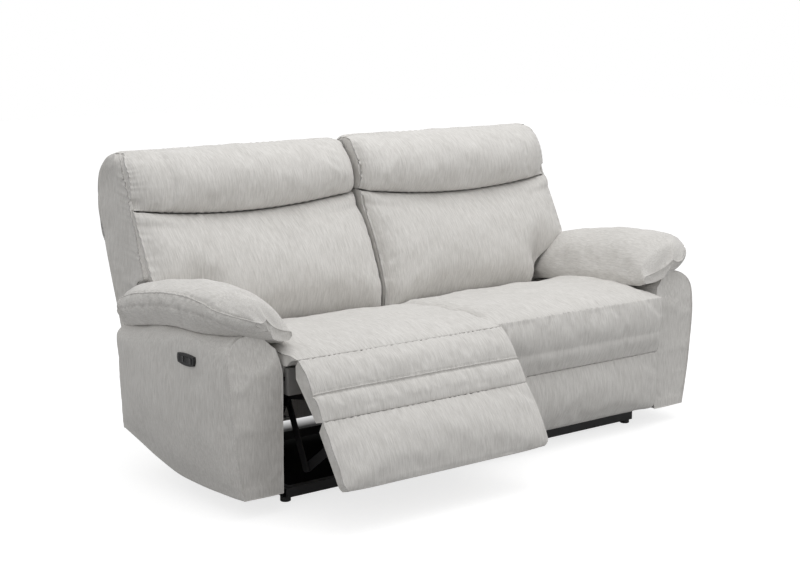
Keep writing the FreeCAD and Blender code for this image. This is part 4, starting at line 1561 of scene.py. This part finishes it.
    def build(self) -> None:
        """Make both arms."""
        body, pad = self.body(), self.pad()
        rows = (("arm_cover", body, Weave.DOWN_THE_SIDE, "upholstery_panels", 0.6),
                ("arm_pad", pad, Weave.ALONG_THE_ARM, "upholstery", 0.75))
        for side in Side:
            for part, skin, weave, slot, fill in rows:
                self.shop.upholster(part, skin, side, "base", weave, self.shop.links.fixed, slot,
                                    fill)
            self.trim(body, pad, side)

    def trim(self, body: Skin, pad: Skin, side: Side) -> None:
        """Sew piping round the pad's top panel and the arm's front panel, and stitches by it.

        Args:
            body: Skin of the arm.
            pad: Skin of its pad.
            side: Half that they belong to.
        """
        y, along, through = pad.measures.T
        top = through < 0.001
        across = along.max()
        stitched = np.unique(np.round(along[top], 2))[-3]
        front = pad.seam(top & (y < self.pad_front + 0.1) & (along > 30), 1, 0.4)
        outer = pad.seam(top & (along > across - 0.1), 0, 0.4)
        thread = pad.seam(top & (np.abs(along - stitched) < 0.02) & (y > -10), 0, 0.1)
        y, along, through = body.measures.T
        edge = body.seam((y < 0.1) & (through < 0.001) & (along > 12), 1, -0.6)
        for notion, line in ((Notion.PIPING, np.concatenate([front, outer[1:]])),
                             (Notion.STITCHES, thread), (Notion.PIPING, edge)):
            placed = self.shop.set_down(line, side, self.shop.links.fixed)
            self.shop.sewing.follow(notion, "base", placed)


# Hardware of the frame


@dataclass
class Hardware:
    """Solids of the frame that stay as they are, with their finishes."""

    shop: Workshop
    nodes: dict[str, bpy.types.Object]
    halves: dict[str, str] = field(default_factory=lambda: {
        "arm_frame": "lining", "rocker_1": "cap", "rocker_2": "cap", "seat_frame": "lining",
        "seat_springs": "spring", "seat_plates": "black_steel", "drive_rod": "bright",
        "front_rollers": "nylon", "rear_rollers": "nylon", "calf_board": "timber",
        "foot_board": "timber", "foot_brackets": "zinc", "long_links": "black_steel",
        "short_links": "black_steel", "back_frame": "timber", "back_springs": "spring",
        "back_brackets": "black_steel"})
    shared: dict[str, str] = field(default_factory=lambda: {
        "feet": "glide", "base_rails": "black_steel", "base_side_plates": "black_steel",
        "motor_crossbars": "black_steel", "drive_motors": "casing", "arm_bolts": "zinc",
        "power_inlet": "moulded", "power_supply": "moulded", "control_bezels": "moulded"})

    def build(self) -> None:
        """Give each solid its finish."""
        rows = dict(self.shared)
        for side in Side:
            rows.update({f"{side.word}_{name}": finish for name, finish in self.halves.items()})
        for name, finish in rows.items():
            self.dress(name, getattr(self.shop.finishes, finish))
        self.dress("rear_base_panel", self.shop.finishes.cloth[Weave.DOWN_THE_SIDE])

    def dress(self, name: str, material: bpy.types.Material) -> None:
        """Put one finish on one solid.

        Args:
            name: Node of the solid.
            material: Its finish.
        """
        for slot in self.nodes[name].material_slots:
            slot.material = material
        LOG.info("%s: %s", name, material.name)


# Studio


@dataclass(frozen=True)
class Lamp:
    """Soft square lamp aimed at a point."""

    name: str
    place: tuple[float, float, float]
    aim: tuple[float, float, float]
    size: float
    watts: float

    def hang(self) -> None:
        """Put the lamp in the scene."""
        data = bpy.data.lights.new(self.name, "AREA")
        data.size = self.size
        data.energy = self.watts
        lamp = put(self.name, data)
        lamp.location = self.place
        way = Vector(self.aim) - Vector(self.place)
        lamp.rotation_euler = way.to_track_quat("-Z", "Y").to_euler()


@dataclass
class Studio:
    """Floor, light and camera."""

    origin_y: float
    camera_place: tuple[float, float, float] = (-3206.0, -3722.0, 1506.0)
    heading: float = 37.45
    pitch: float = 10.76
    lens: float = 70.06
    lamps: tuple[Lamp, ...] = (Lamp("overhead", (0.3, -0.2, 3.4), (0, 0, 0.4), 3.2, 46.0),
                               Lamp("front", (1.6, -4.2, 2.2), (0, 0, 0.5), 2.6, 12.0))
    ambient: float = 0.70
    floor_half: float = 14.0
    floor_glow: float = 0.74
    floor_tone: float = 0.46
    # Painted shade under the seats: the floor's dark tone, and how far it reaches across, to the
    # front and to the rear.
    shade_tone: float = 0.03
    shade_side: Pair = (0.78, 0.66)
    shade_front: Pair = (-0.185, -0.135)
    shade_rear: Pair = (0.58, 0.4)

    def build(self) -> None:
        """Set up the studio."""
        self.floor()
        for lamp in self.lamps:
            lamp.hang()
        self.backdrop()
        self.camera()

    def floor(self) -> None:
        """Pale floor that shows white and keeps the shadow, with painted shade under the seats."""
        mesh = bpy.data.meshes.new("floor")
        h = self.floor_half
        mesh.from_pydata([(-h, -h, 0), (h, -h, 0), (h, h, 0), (-h, h, 0)], [], [(0, 1, 2, 3)])
        material = bpy.data.materials.new("pale_floor")
        tree = Tree(material)
        seen = tree.add("ShaderNodeLightPath").outputs["Is Camera Ray"]
        under = self.under(tree)
        # Painted shade: the floor's glow fades out under the seats.
        lift = tree.math("MULTIPLY", seen, tree.grey(under, self.floor_glow, 0.0))
        glow = tree.add("ShaderNodeEmission", {"Color": (1, 1, 1, 1), "Strength": lift})
        # Painted shade: the floor's colour darkens to shade_tone under the seats.
        tone_with_painted_shade = tree.ramp(under, [(0.0, (self.floor_tone,) * 3), (1.0, (self.shade_tone,) * 3)])
        matt = tree.add("ShaderNodeBsdfDiffuse", {"Color": tone_with_painted_shade})
        tree.finish(tree.add("ShaderNodeAddShader", {0: glow.outputs[0], 1: matt.outputs[0]}))
        mesh.materials.append(material)
        put("floor", mesh)

    def under(self, tree: Tree) -> Any:
        """Share of the painted deep shade under the seats, by place on the floor.

        Args:
            tree: Nodes of the floor.

        Returns:
            The socket of the share.
        """
        axes = tree.add("ShaderNodeSeparateXYZ", {0: tree.place()}).outputs
        beside = tree.math("ABSOLUTE", axes["X"], 0.0)
        shares = [tree.add("ShaderNodeMapRange", {0: value, 1: start, 2: end},
                           interpolation_type="SMOOTHSTEP").outputs[0]
                  for value, (start, end) in ((beside, self.shade_side),
                                              (axes["Y"], self.shade_front),
                                              (axes["Y"], self.shade_rear))]
        return reduce(lambda total, share: tree.math("MULTIPLY", total, share), shares)

    def backdrop(self) -> None:
        """World that shows white and lights softly."""
        world = bpy.data.worlds.new("studio")
        bpy.context.scene.world = world
        tree = Tree(world)
        path = tree.add("ShaderNodeLightPath").outputs
        shown = tree.math("MAXIMUM", path["Is Camera Ray"], path["Is Glossy Ray"])
        shown = tree.math("MAXIMUM", shown, path["Is Transmission Ray"])
        strength = tree.grey(shown, self.ambient, 1.0)
        back = tree.add("ShaderNodeBackground", {"Color": (1, 1, 1, 1), "Strength": strength})
        tree.add("ShaderNodeOutputWorld", {"Surface": back.outputs[0]})

    def camera(self) -> None:
        """Camera at the photographed view."""
        data = bpy.data.cameras.new("camera")
        data.lens = self.lens
        camera = put("camera", data)
        x, y, z = self.camera_place
        camera.location = (x * MM, (y - self.origin_y) * MM, z * MM)
        camera.rotation_euler = (math.radians(90 - self.pitch), 0, math.radians(-self.heading))
        bpy.context.scene.camera = camera


def main() -> None:
    """Dress the sofa and set up the studio."""
    logging.basicConfig(level=logging.INFO, format="%(message)s")
    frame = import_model()
    finishes = Finishes()
    shop = Workshop(finishes)
    Studio(shop.origin_y).build()
    SeatHalf(shop).build()
    BackHalf(shop).build()
    Arm(shop).build()
    shop.sewing.build()
    Hardware(shop, frame["nodes"]).build()
    bpy.context.scene.view_settings.view_transform = "Standard"
    LOG.info("%d cloth pieces", shop.count)


if __name__ == "__main__":
    main()
